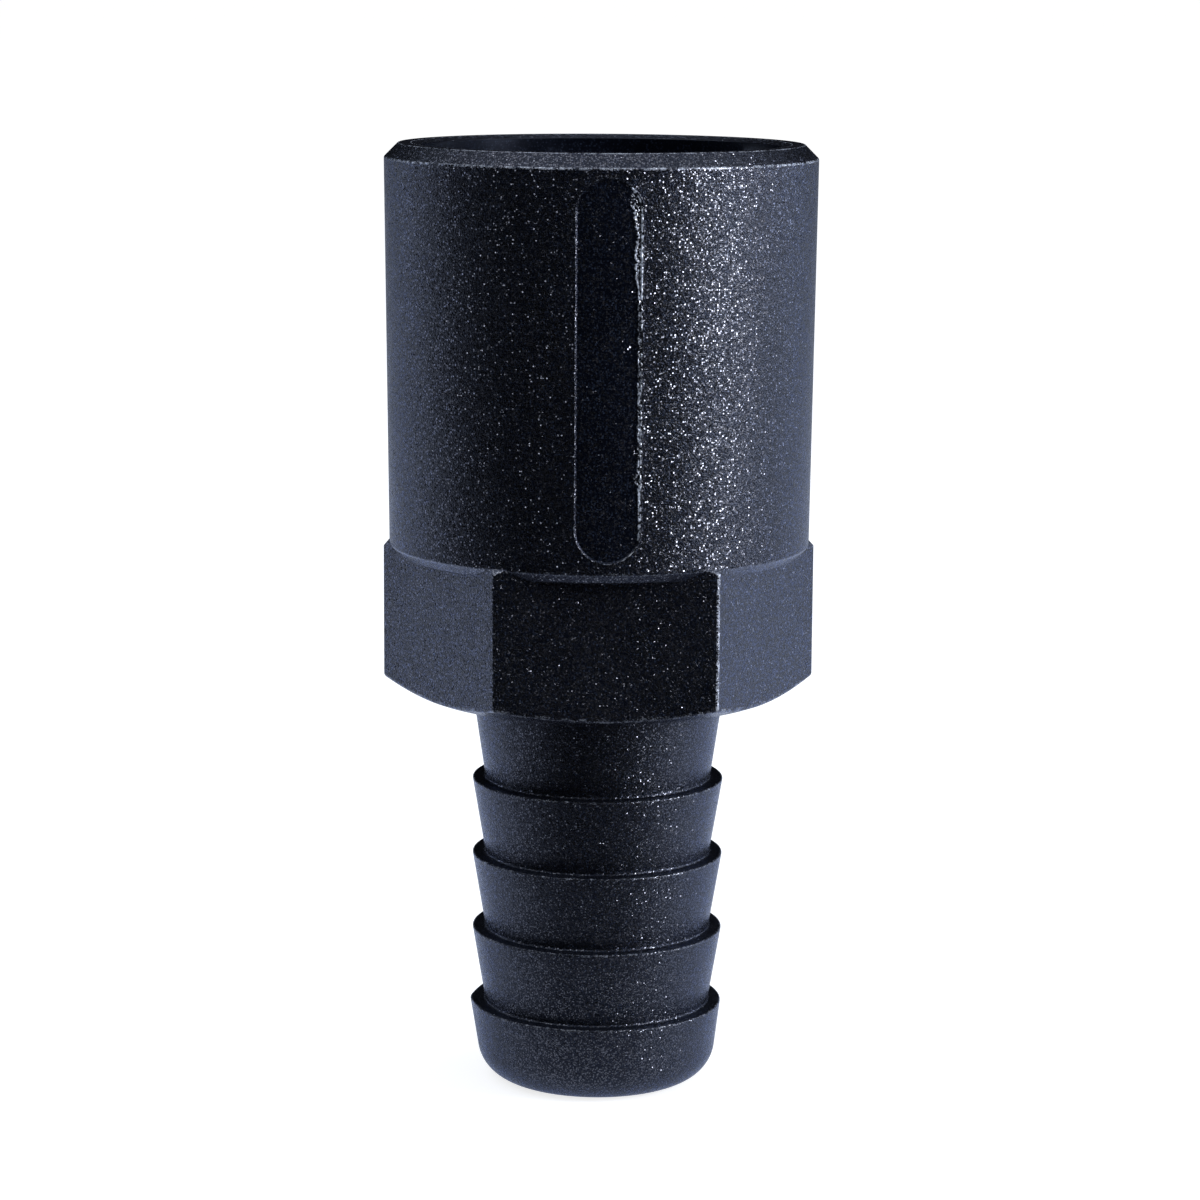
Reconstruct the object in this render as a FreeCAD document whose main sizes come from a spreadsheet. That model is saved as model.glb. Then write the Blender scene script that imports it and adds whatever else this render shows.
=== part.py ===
import FreeCAD, Part
import math
import os
import Sketcher

# Hose barb adapter with a female pipe thread, moulded in one piece.
# Millimetres. +Z is the axis, from the foot of the hose tail (Z = 0) up to the rim of the socket.
# The front of the socket, which carries the smooth panel, faces -Y.

DRIVING_SIZES = {
    # Hose tail
    "bore_diameter": 9.5,
    "bore_chamfer": 0.2,
    "barb_crest_diameter": 14.9,
    "barb_root_diameter": 13.36,
    "barb_pitch": 4.54,
    "barb_count": 4,
    "barb_crest_break": 0.1,
    "nose_length": 4.7,
    "nose_tip_diameter": 13.73,
    "nose_round": 2.19,
    "nose_trim": 0.02,
    "neck_length": 5.2,
    "neck_top_diameter": 14.9,
    # Wrench hexagon
    "hexagon_across_flats": 22.0,
    "hexagon_height": 8.95,
    "hexagon_edge_round": 0.15,
    "hexagon_foot_face_diameter": 20.8,
    "hexagon_foot_angle": 20.0,
    "ear_ledge": 0.04,
    # Socket, outside, with its wall outside the relief at the foot and outside the thread at the top
    "socket_length": 23.25,
    "socket_foot_wall": 1.73,
    "socket_top_wall": 2.1125,
    "lip_drop": 0.66,
    "lip_chamfer": 0.58,
    "rim_chamfer": 0.81,
    # Smooth panel on the front of the socket
    "panel_width": 3.73,
    "panel_length": 21.4,
    "panel_top_margin": 1.3,
    "panel_depth": 0.1,
    "panel_clearance": 0.2,
    # Socket, inside
    "mouth_diameter": 22.04,
    "mouth_bevel_depth": 0.2,
    "thread_major_diameter": 20.955,
    "thread_minor_diameter": 18.631,
    "thread_lead_in": 0.9,
    "thread_length": 15.6,
    "relief_diameter": 21.2,
    "relief_length": 2.2,
    "seat_inner_diameter": 16.4,
    "funnel_length": 10.6,
    # Reach of a cut past the face that it leaves through
    "cut_overrun": 1.0,
}

# Heights above the foot, as formulas in the sheet's own names
TOP_CREST = "(sizes.nose_length + (sizes.barb_count - 1) * sizes.barb_pitch)"
HEXAGON_FOOT = f"({TOP_CREST} + sizes.neck_length)"
HEXAGON_TOP = f"({HEXAGON_FOOT} + sizes.hexagon_height)"
LIP = f"({HEXAGON_TOP} - sizes.lip_drop)"
RIM = f"({HEXAGON_TOP} + sizes.socket_length)"
SHOULDER = f"({RIM} - sizes.rim_chamfer)"
PANEL_TOP = f"({RIM} - sizes.panel_top_margin)"
PANEL_FOOT = f"({PANEL_TOP} - sizes.panel_length)"
BAND_TOP = f"({PANEL_TOP} + sizes.panel_clearance)"
BAND_FOOT = f"({PANEL_FOOT} - sizes.panel_clearance)"
MOUTH_BEVEL_FOOT = f"({RIM} - sizes.mouth_bevel_depth)"
LEAD_IN_FOOT = f"({MOUTH_BEVEL_FOOT} - sizes.thread_lead_in)"
THREAD_DEPTH = "((sizes.thread_major_diameter - sizes.thread_minor_diameter) / 2)"
THREAD_TOP = f"({LEAD_IN_FOOT} - {THREAD_DEPTH})"
THREAD_FOOT = f"({THREAD_TOP} - sizes.thread_length)"
SEAT = f"({THREAD_FOOT} - sizes.relief_length)"
FUNNEL_FOOT = f"({SEAT} - sizes.funnel_length)"

# Radii
CREST = "(sizes.barb_crest_diameter / 2)"
ROOT = "(sizes.barb_root_diameter / 2)"
BREAK = "sizes.barb_crest_break"
NECK_TOP = "(sizes.neck_top_diameter / 2)"
BORE = "(sizes.bore_diameter / 2)"
THREAD_MINOR = "(sizes.thread_minor_diameter / 2)"
THREAD_MAJOR = "(sizes.thread_major_diameter / 2)"
RELIEF = "(sizes.relief_diameter / 2)"
SOCKET_FOOT = f"({RELIEF} + sizes.socket_foot_wall)"
SOCKET_TOP = f"({THREAD_MAJOR} + sizes.socket_top_wall)"
HEXAGON_CORNER = "(sizes.hexagon_across_flats / 2 / cos(30))"
PAST_CORNER = f"({HEXAGON_CORNER} + sizes.cut_overrun)"

# Two places closer than this are the same place
SAME_PLACE = 1e-4


def make_sheet(doc):
    """The driving dimensions, one named cell each."""
    sheet = doc.addObject("Spreadsheet::Sheet", "sizes")
    for row, (alias, value) in enumerate(DRIVING_SIZES.items(), start=1):
        sheet.set(f"A{row}", alias)
        sheet.set(f"B{row}", str(value))
        sheet.setAlias(f"B{row}", alias)
    doc.recompute()


def origin_plane(body, role):
    """One of the body's own origin planes, such as XZ_Plane."""
    return next(feature for feature in body.Origin.OriginFeatures if feature.Role == role)


def attach(sketch, body, role):
    sketch.AttachmentSupport = (origin_plane(body, role), [""])
    sketch.MapMode = "FlatFace"


def drive(sketch, kind, name, formula, *geometry):
    """Adds a dimension to a sketch and binds it to a formula of the sheet."""
    value = float(sketch.evalExpression(formula))
    sketch.addConstraint(Sketcher.Constraint(kind, *geometry, value))
    sketch.renameConstraint(sketch.ConstraintCount - 1, name)
    sketch.setExpression(f"Constraints.{name}", formula)


def drive_point(sketch, name, point, across, up):
    """Holds a point of a sketch at two formulas, measured from the sketch's origin."""
    drive(sketch, "DistanceX", f"{name}_across", across, -1, 1, *point)
    drive(sketch, "DistanceY", f"{name}_up", up, -1, 1, *point)


def closed_profile(body, name, role, corners, rounds=None):
    """A closed outline of straight runs through named corners, some of them rounded.

    corners maps each corner's name to its two formulas, in order; rounds maps a corner's
    name to the formula of its radius.
    """
    rounds = rounds or {}
    sketch = body.newObject("Sketcher::SketchObject", name)
    attach(sketch, body, role)
    names = list(corners)
    places = [
        FreeCAD.Vector(float(sketch.evalExpression(across)), float(sketch.evalExpression(up)), 0)
        for across, up in corners.values()
    ]
    arrivals, departures, arcs = {}, {}, {}
    for index, corner in enumerate(names):
        here = places[index]
        arrivals[corner] = departures[corner] = here
        if corner not in rounds:
            continue
        back = (places[index - 1] - here).normalize()
        ahead = (places[(index + 1) % len(places)] - here).normalize()
        half_angle = back.getAngle(ahead) / 2
        radius = float(sketch.evalExpression(rounds[corner]))
        arrivals[corner] = here + back * (radius / math.tan(half_angle))
        departures[corner] = here + ahead * (radius / math.tan(half_angle))
        middle = (back + ahead).normalize()
        centre = here + middle * (radius / math.sin(half_angle))
        nearest = centre - middle * radius
        arcs[corner] = Part.Arc(arrivals[corner], nearest, departures[corner])
    runs = {}
    for index, corner in enumerate(names):
        following = names[(index + 1) % len(names)]
        runs[corner] = sketch.addGeometry(Part.LineSegment(departures[corner], arrivals[following]), False)
    for index, corner in enumerate(names):
        before, after = runs[names[index - 1]], runs[corner]
        across, up = corners[corner]
        if corner not in rounds:
            sketch.addConstraint(Sketcher.Constraint("Coincident", before, 2, after, 1))
            drive_point(sketch, corner, (after, 1), across, up)
            continue
        arc = sketch.addGeometry(arcs[corner], False)
        # An arc is stored counter-clockwise, so its ends are told apart by their places.
        start_is_arrival = sketch.getPoint(arc, 1).distanceToPoint(arrivals[corner]) < SAME_PLACE
        arrival_end, departure_end = (1, 2) if start_is_arrival else (2, 1)
        sketch.addConstraint(Sketcher.Constraint("Tangent", before, 2, arc, arrival_end))
        sketch.addConstraint(Sketcher.Constraint("Tangent", arc, departure_end, after, 1))
        drive(sketch, "Radius", f"{corner}_round", rounds[corner], arc)
        apex = sketch.addGeometry(Part.Point(places[index]), True)
        sketch.addConstraint(Sketcher.Constraint("PointOnObject", apex, 1, before))
        sketch.addConstraint(Sketcher.Constraint("PointOnObject", apex, 1, after))
        drive_point(sketch, corner, (apex, 1), across, up)
    return sketch


def turned(body, kind, name, sketch):
    """A full turn of a profile about the axis, added (Revolution) or cut away (Groove)."""
    feature = body.newObject(f"PartDesign::{kind}", name)
    feature.Profile = sketch
    feature.ReferenceAxis = (sketch, ["V_Axis"])
    feature.Angle = 360
    body.Document.recompute()
    return feature


def socket_radius(height):
    """Formula of the drafted socket's outer radius at a height, between its two chamfers."""
    share = f"(({height} - {LIP} - sizes.lip_chamfer) / ({SHOULDER} - {LIP} - sizes.lip_chamfer))"
    return f"({SOCKET_FOOT} + ({SOCKET_TOP} - {SOCKET_FOOT}) * {share})"


def panel_outline(body):
    """Upright slot shape with full round ends, centred on the front of the socket."""
    sketch = body.newObject("Sketcher::SketchObject", "panel_outline")
    attach(sketch, body, "XZ_Plane")
    half_width = float(sketch.evalExpression("sizes.panel_width / 2"))
    foot = float(sketch.evalExpression(PANEL_FOOT)) + half_width
    top = float(sketch.evalExpression(PANEL_TOP)) - half_width
    right_foot, right_top = FreeCAD.Vector(half_width, foot, 0), FreeCAD.Vector(half_width, top, 0)
    left_foot, left_top = FreeCAD.Vector(-half_width, foot, 0), FreeCAD.Vector(-half_width, top, 0)
    towards_viewer = FreeCAD.Vector(0, 0, 1)
    top_circle = Part.Circle(FreeCAD.Vector(0, top, 0), towards_viewer, half_width)
    foot_circle = Part.Circle(FreeCAD.Vector(0, foot, 0), towards_viewer, half_width)
    right = sketch.addGeometry(Part.LineSegment(right_foot, right_top), False)
    top_end = sketch.addGeometry(Part.ArcOfCircle(top_circle, 0, math.pi), False)
    left = sketch.addGeometry(Part.LineSegment(left_top, left_foot), False)
    foot_end = sketch.addGeometry(Part.ArcOfCircle(foot_circle, math.pi, 2 * math.pi), False)
    for first, second in ((right, top_end), (top_end, left), (left, foot_end), (foot_end, right)):
        sketch.addConstraint(Sketcher.Constraint("Tangent", first, 2, second, 1))
    sketch.addConstraint(Sketcher.Constraint("Equal", top_end, foot_end))
    drive(sketch, "Radius", "end_radius", "sizes.panel_width / 2", top_end)
    drive_point(sketch, "top_end", (top_end, 3), "0", f"{PANEL_TOP} - sizes.panel_width / 2")
    drive_point(sketch, "foot_end", (foot_end, 3), "0", f"{PANEL_FOOT} + sizes.panel_width / 2")
    return sketch


def add_socket(body):
    """The drafted socket, still solid: a skin with the panel's window in it, then the core behind."""
    outer_foot, outer_top = socket_radius(BAND_FOOT), socket_radius(BAND_TOP)
    inner_foot, inner_top = f"({outer_foot} - sizes.panel_depth)", f"({outer_top} - sizes.panel_depth)"
    skin_profile = closed_profile(body, "skin_profile", "XZ_Plane", {
        "inner_foot": (inner_foot, BAND_FOOT),
        "outer_foot": (outer_foot, BAND_FOOT),
        "outer_top": (outer_top, BAND_TOP),
        "inner_top": (inner_top, BAND_TOP),
    })
    skin = turned(body, "Revolution", "socket_skin", skin_profile)

    window = body.newObject("PartDesign::Pocket", "panel_window")
    window.Profile = panel_outline(body)
    window.Type = "ThroughAll"
    window.Reversed = True
    body.Document.recompute()
    if not window.Shape.Volume < skin.Shape.Volume:
        raise RuntimeError("the panel's window cuts nothing")

    core_profile = closed_profile(body, "core_profile", "XZ_Plane", {
        "lip_axis": ("0", LIP),
        "lip_under": (f"{SOCKET_FOOT} - sizes.lip_chamfer", LIP),
        "lip_side": (SOCKET_FOOT, f"{LIP} + sizes.lip_chamfer"),
        "band_foot": (outer_foot, BAND_FOOT),
        "floor_foot": (inner_foot, BAND_FOOT),
        "floor_top": (inner_top, BAND_TOP),
        "band_top": (outer_top, BAND_TOP),
        "shoulder": (SOCKET_TOP, SHOULDER),
        "land": (f"{SOCKET_TOP} - sizes.rim_chamfer", RIM),
        "rim_axis": ("0", RIM),
    })
    turned(body, "Revolution", "socket_core", core_profile)


def add_hexagon(body):
    """The wrench hexagon, corners at +X and -X, with its turned chamfers below and above."""
    corners = {
        f"corner{number}": (f"{HEXAGON_CORNER} * cos({60 * number})", f"{HEXAGON_CORNER} * sin({60 * number})")
        for number in range(6)
    }
    rounds = {corner: "sizes.hexagon_edge_round" for corner in corners}
    outline = closed_profile(body, "hexagon_outline", "XY_Plane", corners, rounds)
    outline.setExpression("AttachmentOffset.Base.z", HEXAGON_FOOT)
    hexagon = body.newObject("PartDesign::Pad", "hexagon")
    hexagon.Profile = outline
    hexagon.setExpression("Length", "sizes.hexagon_height")
    body.Document.recompute()

    face_edge = "(sizes.hexagon_foot_face_diameter / 2)"
    rise = f"(({PAST_CORNER} - {face_edge}) * tan(sizes.hexagon_foot_angle))"
    foot_chamfer = closed_profile(body, "hexagon_foot_chamfer_profile", "XZ_Plane", {
        "face_edge": (face_edge, HEXAGON_FOOT),
        "below_corner": (PAST_CORNER, HEXAGON_FOOT),
        "past_corner": (PAST_CORNER, f"{HEXAGON_FOOT} + {rise}"),
    })
    turned(body, "Groove", "hexagon_foot_chamfer", foot_chamfer)

    # Only the corners stand out past the socket, so the upper chamfer starts just outside it.
    ear_edge = f"({socket_radius(HEXAGON_TOP)} + sizes.ear_ledge)"
    top_chamfer = closed_profile(body, "ear_chamfer_profile", "XZ_Plane", {
        "ear_edge": (ear_edge, HEXAGON_TOP),
        "past_corner": (PAST_CORNER, f"{HEXAGON_TOP} - ({PAST_CORNER} - {ear_edge})"),
        "above_corner": (PAST_CORNER, HEXAGON_TOP),
    })
    turned(body, "Groove", "ear_chamfer", top_chamfer)


def add_hose_tail(body):
    """The tail below the hexagon: the neck, the rows of barbs, and the rounded nose."""
    neck_profile = closed_profile(body, "neck_profile", "XZ_Plane", {
        "root_axis": ("0", TOP_CREST),
        "root": (ROOT, TOP_CREST),
        "top": (NECK_TOP, HEXAGON_FOOT),
        "top_axis": ("0", HEXAGON_FOOT),
    })
    turned(body, "Revolution", "neck", neck_profile)

    # The barbs are added from the neck downwards, so that each one hangs on the solid above it.
    barb_profile = closed_profile(body, "barb_profile", "XZ_Plane", {
        "root_axis": ("0", f"{TOP_CREST} - sizes.barb_pitch"),
        "root": (ROOT, f"{TOP_CREST} - sizes.barb_pitch"),
        "crest": (CREST, f"{TOP_CREST} - {BREAK}"),
        "shelf": (f"{CREST} - {BREAK}", TOP_CREST),
        "shelf_axis": ("0", TOP_CREST),
    })
    barb = turned(body, "Revolution", "barb", barb_profile)
    rows = body.newObject("PartDesign::LinearPattern", "barb_rows")
    rows.Originals = [barb]
    rows.Direction = (barb_profile, ["V_Axis"])
    rows.Reversed = True
    rows.Mode = "Spacing"
    rows.setExpression("Offset", "sizes.barb_pitch")
    rows.setExpression("Occurrences", "sizes.barb_count - 1")
    body.Tip = rows
    body.Document.recompute()

    nose_profile = closed_profile(body, "nose_profile", "XZ_Plane", {
        "tip_axis": ("0", "-sizes.nose_trim"),
        "tip": ("sizes.nose_tip_diameter / 2", "-sizes.nose_trim"),
        "crest": (CREST, f"sizes.nose_length - {BREAK}"),
        "shelf": (f"{CREST} - {BREAK}", "sizes.nose_length"),
        "shelf_axis": ("0", "sizes.nose_length"),
    }, {"tip": "sizes.nose_round"})
    turned(body, "Revolution", "nose", nose_profile)


def cut_waterway(body):
    """Everything bored from the axis: the hose bore, the funnel, the seat and the thread's socket."""
    below_foot = "(0 - sizes.cut_overrun)"
    above_rim = f"({RIM} + sizes.cut_overrun)"
    profile = closed_profile(body, "waterway_profile", "XZ_Plane", {
        "axis_foot": ("0", below_foot),
        "bore_mouth_below": (f"{BORE} + sizes.bore_chamfer", below_foot),
        "bore_mouth": (f"{BORE} + sizes.bore_chamfer", "0"),
        "bore_foot": (BORE, "sizes.bore_chamfer"),
        "funnel_foot": (BORE, FUNNEL_FOOT),
        "seat_inner": ("sizes.seat_inner_diameter / 2", SEAT),
        "seat_outer": (RELIEF, SEAT),
        "relief_top": (RELIEF, THREAD_FOOT),
        "thread_foot": (THREAD_MINOR, THREAD_FOOT),
        "thread_top": (THREAD_MINOR, THREAD_TOP),
        "lead_in_foot": (THREAD_MAJOR, LEAD_IN_FOOT),
        "lead_in_top": (THREAD_MAJOR, MOUTH_BEVEL_FOOT),
        "mouth": ("sizes.mouth_diameter / 2", RIM),
        "mouth_above": ("sizes.mouth_diameter / 2", above_rim),
        "axis_top": ("0", above_rim),
    })
    turned(body, "Groove", "waterway", profile)


def face_foot(body):
    """Trims the very tip of the rounded nose to a flat ring, which the part stands on."""
    below_tip = "(0 - sizes.nose_trim - sizes.cut_overrun)"
    past_nose = f"({CREST} + sizes.cut_overrun)"
    profile = closed_profile(body, "foot_face_profile", "XZ_Plane", {
        "axis_below": ("0", below_tip),
        "outside_below": (past_nose, below_tip),
        "outside_foot": (past_nose, "0"),
        "axis_foot": ("0", "0"),
    })
    turned(body, "Groove", "foot_face", profile)


def make_adapter_body(doc):
    """The whole moulding, from its solid blank to the bored and faced part."""
    body = doc.addObject("PartDesign::Body", "adapter_body")
    body.Label = "adapter_body"
    add_socket(body)
    add_hexagon(body)
    add_hose_tail(body)
    face_foot(body)
    cut_waterway(body)
    return body


def check(doc, parts):
    """Stops before anything is written if an object of the document failed to build."""
    for item in doc.Objects:
        failed = {"Invalid", "Error"} & set(item.State)
        if failed:
            raise RuntimeError(f"{item.Name} failed: {item.State}")
    for part in parts:
        if part.Shape.isNull() or not part.Shape.isValid():
            raise RuntimeError(f"{part.Label} has no valid shape")


def main():
    doc = FreeCAD.newDocument("hose_barb_adapter")
    make_sheet(doc)
    parts = [make_adapter_body(doc)]
    doc.recompute()
    check(doc, parts)
    os.makedirs("parts", exist_ok=True)
    for part in parts:
        part.Shape.exportStep(f"parts/{part.Label}.step")
        box = part.Shape.optimalBoundingBox()
        print(f"{part.Label}: {len(part.Shape.Solids)} solid, {part.Shape.Volume:.1f} mm3, "
              f"{box.XLength:.3f} x {box.YLength:.3f} x {box.ZLength:.3f} mm, foot at {box.ZMin:.4f}")


main()
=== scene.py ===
"""Hose barb female adapter: the finished looks of a one-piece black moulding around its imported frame.

Lengths in the classes are millimetres and become metres where a mesh is written. +Z is the axis, the
foot of the hose tail stands at height 0, and the smooth panel on the socket faces -Y.
"""

from __future__ import annotations

import logging
import math
from dataclasses import dataclass, field
from enum import Enum

import bmesh
import bpy
from mathutils import Matrix, Vector, noise

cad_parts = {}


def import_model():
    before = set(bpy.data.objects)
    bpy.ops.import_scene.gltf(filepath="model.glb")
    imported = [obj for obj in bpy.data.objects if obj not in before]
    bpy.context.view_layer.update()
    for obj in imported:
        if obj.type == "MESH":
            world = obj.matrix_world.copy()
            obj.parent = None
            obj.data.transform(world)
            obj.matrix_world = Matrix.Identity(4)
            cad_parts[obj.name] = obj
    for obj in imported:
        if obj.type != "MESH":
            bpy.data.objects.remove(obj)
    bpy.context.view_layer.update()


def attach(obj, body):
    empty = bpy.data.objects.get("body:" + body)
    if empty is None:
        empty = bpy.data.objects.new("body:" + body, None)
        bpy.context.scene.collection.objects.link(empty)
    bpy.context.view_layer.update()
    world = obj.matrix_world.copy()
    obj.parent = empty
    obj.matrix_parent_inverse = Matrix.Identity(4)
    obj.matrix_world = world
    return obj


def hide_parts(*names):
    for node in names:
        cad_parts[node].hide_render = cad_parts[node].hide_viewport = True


LOG = logging.getLogger("adapter_scene")

MM = 0.001
"""Metres in a millimetre."""

WELD = 2e-7
"""Points of the moulding closer than this, in metres, are one point."""

Pair = tuple[float, float]


class Attribute(Enum):
    """Per-point values of the section table, and of the mesh for its materials."""

    WEAR_AND_HIGHLIGHT = "edge_wear"
    SMEAR = "torn_flash"
    CORED = "cored_side"
    CLIMBS = "climbs"


class Finish(Enum):
    """The material slots of the moulding, in order."""

    GRAINED = 0
    PANEL = 1
    CORED = 2
    TAIL = 3
    # A brighter copy of the plastic on the lip's band: partly a smoother satin edge, partly a painted highlight.
    LIP_HIGHLIGHT = 4


# ---------------------------------------------------------------------------------------------
# Sizes


@dataclass(frozen=True)
class TailSizes:
    """The hose tail under the hexagon: four barbs, the neck above them and the rounded nose."""

    crest_radius: float = 7.45
    root_radius: float = 6.68
    pitch: float = 4.54
    barbs: int = 4
    crest_round: float = 0.1
    root_round: float = 0.13
    nose_length: float = 4.7
    nose_tip_radius: float = 6.865
    nose_trim: float = 0.02
    nose_round: float = 2.19
    neck_length: float = 5.2
    neck_top_radius: float = 7.45
    neck_round: float = 0.2
    bore_radius: float = 4.75
    bore_chamfer: float = 0.2
    bore_round: float = 0.05

    @property
    def top_crest(self) -> float:
        """Height of the uppermost barb's crest."""
        return self.nose_length + (self.barbs - 1) * self.pitch

    @property
    def top(self) -> float:
        """Height where the neck meets the hexagon."""
        return self.top_crest + self.neck_length


@dataclass(frozen=True)
class HexagonSizes:
    """The wrench hexagon, 22 mm across its flats, with turned chamfers below and above."""

    half_flats: float = 11.0
    height: float = 8.95
    corner_round: float = 0.16
    foot_face_radius: float = 10.4
    foot_angle: float = math.radians(20.0)
    foot_round: float = 0.25
    foot_face_round: float = 0.1
    flat_top_round: float = 0.03
    ear_ledge: float = 0.04
    ear_round: float = 0.08
    flat_start: float = 0.16

    def reach(self, from_corner: float) -> float:
        """Radius of the hexagon at an angle from one of its rounded corners.

        Args:
            from_corner: angle from the corner, in radians, at most 30 degrees either way.

        Returns:
            The radius in millimetres.
        """
        tilt = abs(from_corner)
        centre = (self.half_flats - self.corner_round) / math.cos(math.pi / 6)
        tangent = math.atan2((self.half_flats - self.corner_round) * math.tan(math.pi / 6), self.half_flats)
        if tilt < math.pi / 6 - tangent:
            chord = self.corner_round**2 - (centre * math.sin(tilt)) ** 2
            return centre * math.cos(tilt) + math.sqrt(max(chord, 0.0))
        return self.half_flats / math.cos(math.pi / 6 - tilt)


@dataclass(frozen=True)
class SocketSizes:
    """The drafted socket above the hexagon, inside and outside."""

    length: float = 23.25
    foot_radius: float = 12.33
    top_radius: float = 12.59
    lip_drop: float = 0.66
    lip_chamfer: float = 0.58
    lip_round: float = 0.25
    rim_chamfer: float = 0.81
    shoulder_round: float = 0.18
    land_round: float = 0.12
    mouth_radius: float = 11.02
    mouth_round: float = 0.07
    mouth_bevel_depth: float = 0.2
    bevel_round: float = 0.05
    thread_major_radius: float = 10.4775
    thread_minor_radius: float = 9.3155
    thread_pitch: float = 1.814
    thread_lead_in: float = 0.9
    thread_length: float = 15.6
    relief_radius: float = 10.6
    relief_length: float = 2.2
    relief_round: float = 0.15
    seat_radius: float = 8.2
    seat_round: float = 0.1
    funnel_length: float = 10.6
    funnel_round: float = 0.6


@dataclass(frozen=True)
class PanelSizes:
    """The smooth slot-shaped panel on the front of the socket, left by a plain insert in the mould."""

    width: float = 3.73
    length: float = 21.4
    top_margin: float = 1.3
    depth: float = 0.1
    step_width: float = 0.1
    window_margin: float = 0.3


@dataclass(frozen=True)
class EdgeWearAndHighlight:
    """How pale each edge is marked, from 0 to 1: partly real wear, partly a painted highlight on rounded edges that
    catch the lamps.
    """

    mouth: float = 0.75
    land: float = 0.5
    shoulder: float = 0.5
    lip: float = 0.15
    flat_top: float = 0.2
    flat_foot: float = 0.28
    foot_face: float = 0.1
    hexagon_corner: float = 0.35
    # Painted highlight: the hexagon's right front corner, which faces the right lamp, is marked pale.
    right_front_corner_highlight: float = 0.65
    crest: float = 0.22
    bore: float = 0.3
    panel_line: float = 0.28
    torn_foot_highlight: float = 0.6


@dataclass(frozen=True)
class MeshSizes:
    """How finely the moulding is divided."""

    half_sector_columns: int = 24
    crowding: float = 0.85
    support: float = 0.03
    rows_per_turn: int = 10
    window_half_columns: int = 6
    window_rows: int = 14
    window_end_rows: tuple[float, ...] = (0.0, 0.45, 0.9, 1.32, 1.72)


# ---------------------------------------------------------------------------------------------
# Node trees


class Nodes:
    """Adds nodes to a tree and links what they are given."""

    def __init__(self, tree: bpy.types.NodeTree) -> None:
        """Works on a tree, which starts empty.

        Args:
            tree: a geometry, shader or group tree.
        """
        self.tree = tree
        tree.nodes.clear()

    def put(self, socket: bpy.types.NodeSocket, value: object) -> None:
        """Links a socket to another, or sets its own value.

        Args:
            socket: the input to fill.
            value: an output socket to link from, or a plain value.
        """
        if isinstance(value, bpy.types.NodeSocket):
            self.tree.links.new(value, socket)
        else:
            socket.default_value = value

    def add(self, kind: str, inputs: dict[str | int, object] | None = None, **settings: object) -> bpy.types.Node:
        """Adds one node.

        Args:
            kind: the node's type name.
            inputs: what each input socket gets, by name or number.
            settings: the node's own options.

        Returns:
            The node.
        """
        node = self.tree.nodes.new(kind)
        for option, value in settings.items():
            setattr(node, option, value)
        for socket, value in (inputs or {}).items():
            self.put(node.inputs[socket], value)
        return node

    def math(self, operation: str, *values: object) -> bpy.types.NodeSocket:
        """One step of arithmetic.

        Args:
            operation: the Math node's operation.
            values: its operands.

        Returns:
            The result's socket.
        """
        node = self.add("ShaderNodeMath", dict(enumerate(values)), operation=operation)
        return node.outputs[0]


def group_socket(
    tree: bpy.types.NodeTree, name: str, kind: str, default: object = None, output: bool = False,
) -> None:
    """Gives a group tree one named input or output.

    Args:
        tree: the group.
        name: the socket's name.
        kind: the socket's type name, without its NodeSocket prefix.
        default: an input's default value.
        output: True for an output.
    """
    direction = "OUTPUT" if output else "INPUT"
    socket = tree.interface.new_socket(name=name, in_out=direction, socket_type=f"NodeSocket{kind}")
    if default is not None:
        socket.default_value = default


def set_modifier_inputs(modifier: bpy.types.Modifier, values: dict[str, object]) -> None:
    """Sets a Geometry Nodes modifier's inputs by their sockets' identifiers.

    Args:
        modifier: the modifier.
        values: each input's value by the socket's name.
    """
    for item in modifier.node_group.interface.items_tree:
        if item.item_type == "SOCKET" and item.in_out == "INPUT" and item.name in values:
            modifier[item.identifier] = values[item.name]


def eased(value: float, low: float, high: float) -> float:
    """A smooth rise from 0 to 1.

    Args:
        value: where to read it.
        low: where it starts.
        high: where it ends.

    Returns:
        The share of the rise.
    """
    share = min(max((value - low) / (high - low), 0.0), 1.0)
    return share * share * (3 - 2 * share)


# ---------------------------------------------------------------------------------------------
# The moulding's section


@dataclass(frozen=True)
class Corner:
    """A corner of the section: its place, its edge round, how many facets the round has, and its pale edge mark, partly
    wear and partly a painted highlight.

    A round keeps to its share of the sides beside it unless it is a full one.
    """

    radius: float
    height: float
    round: float = 0.0
    facets: int = 2
    wear_and_highlight: float = 0.0
    thread: bool = False
    full: bool = False
    corner: float = 0.0

    @property
    def place(self) -> Vector:
        """Radius and height as one vector."""
        return Vector((self.radius, self.height))


@dataclass(frozen=True)
class Ring:
    """A point of the section, which becomes one ring of the moulding."""

    radius: float
    height: float
    wear_and_highlight: float = 0.0
    cored: float = 0.0
    thread: float = 0.0


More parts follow.
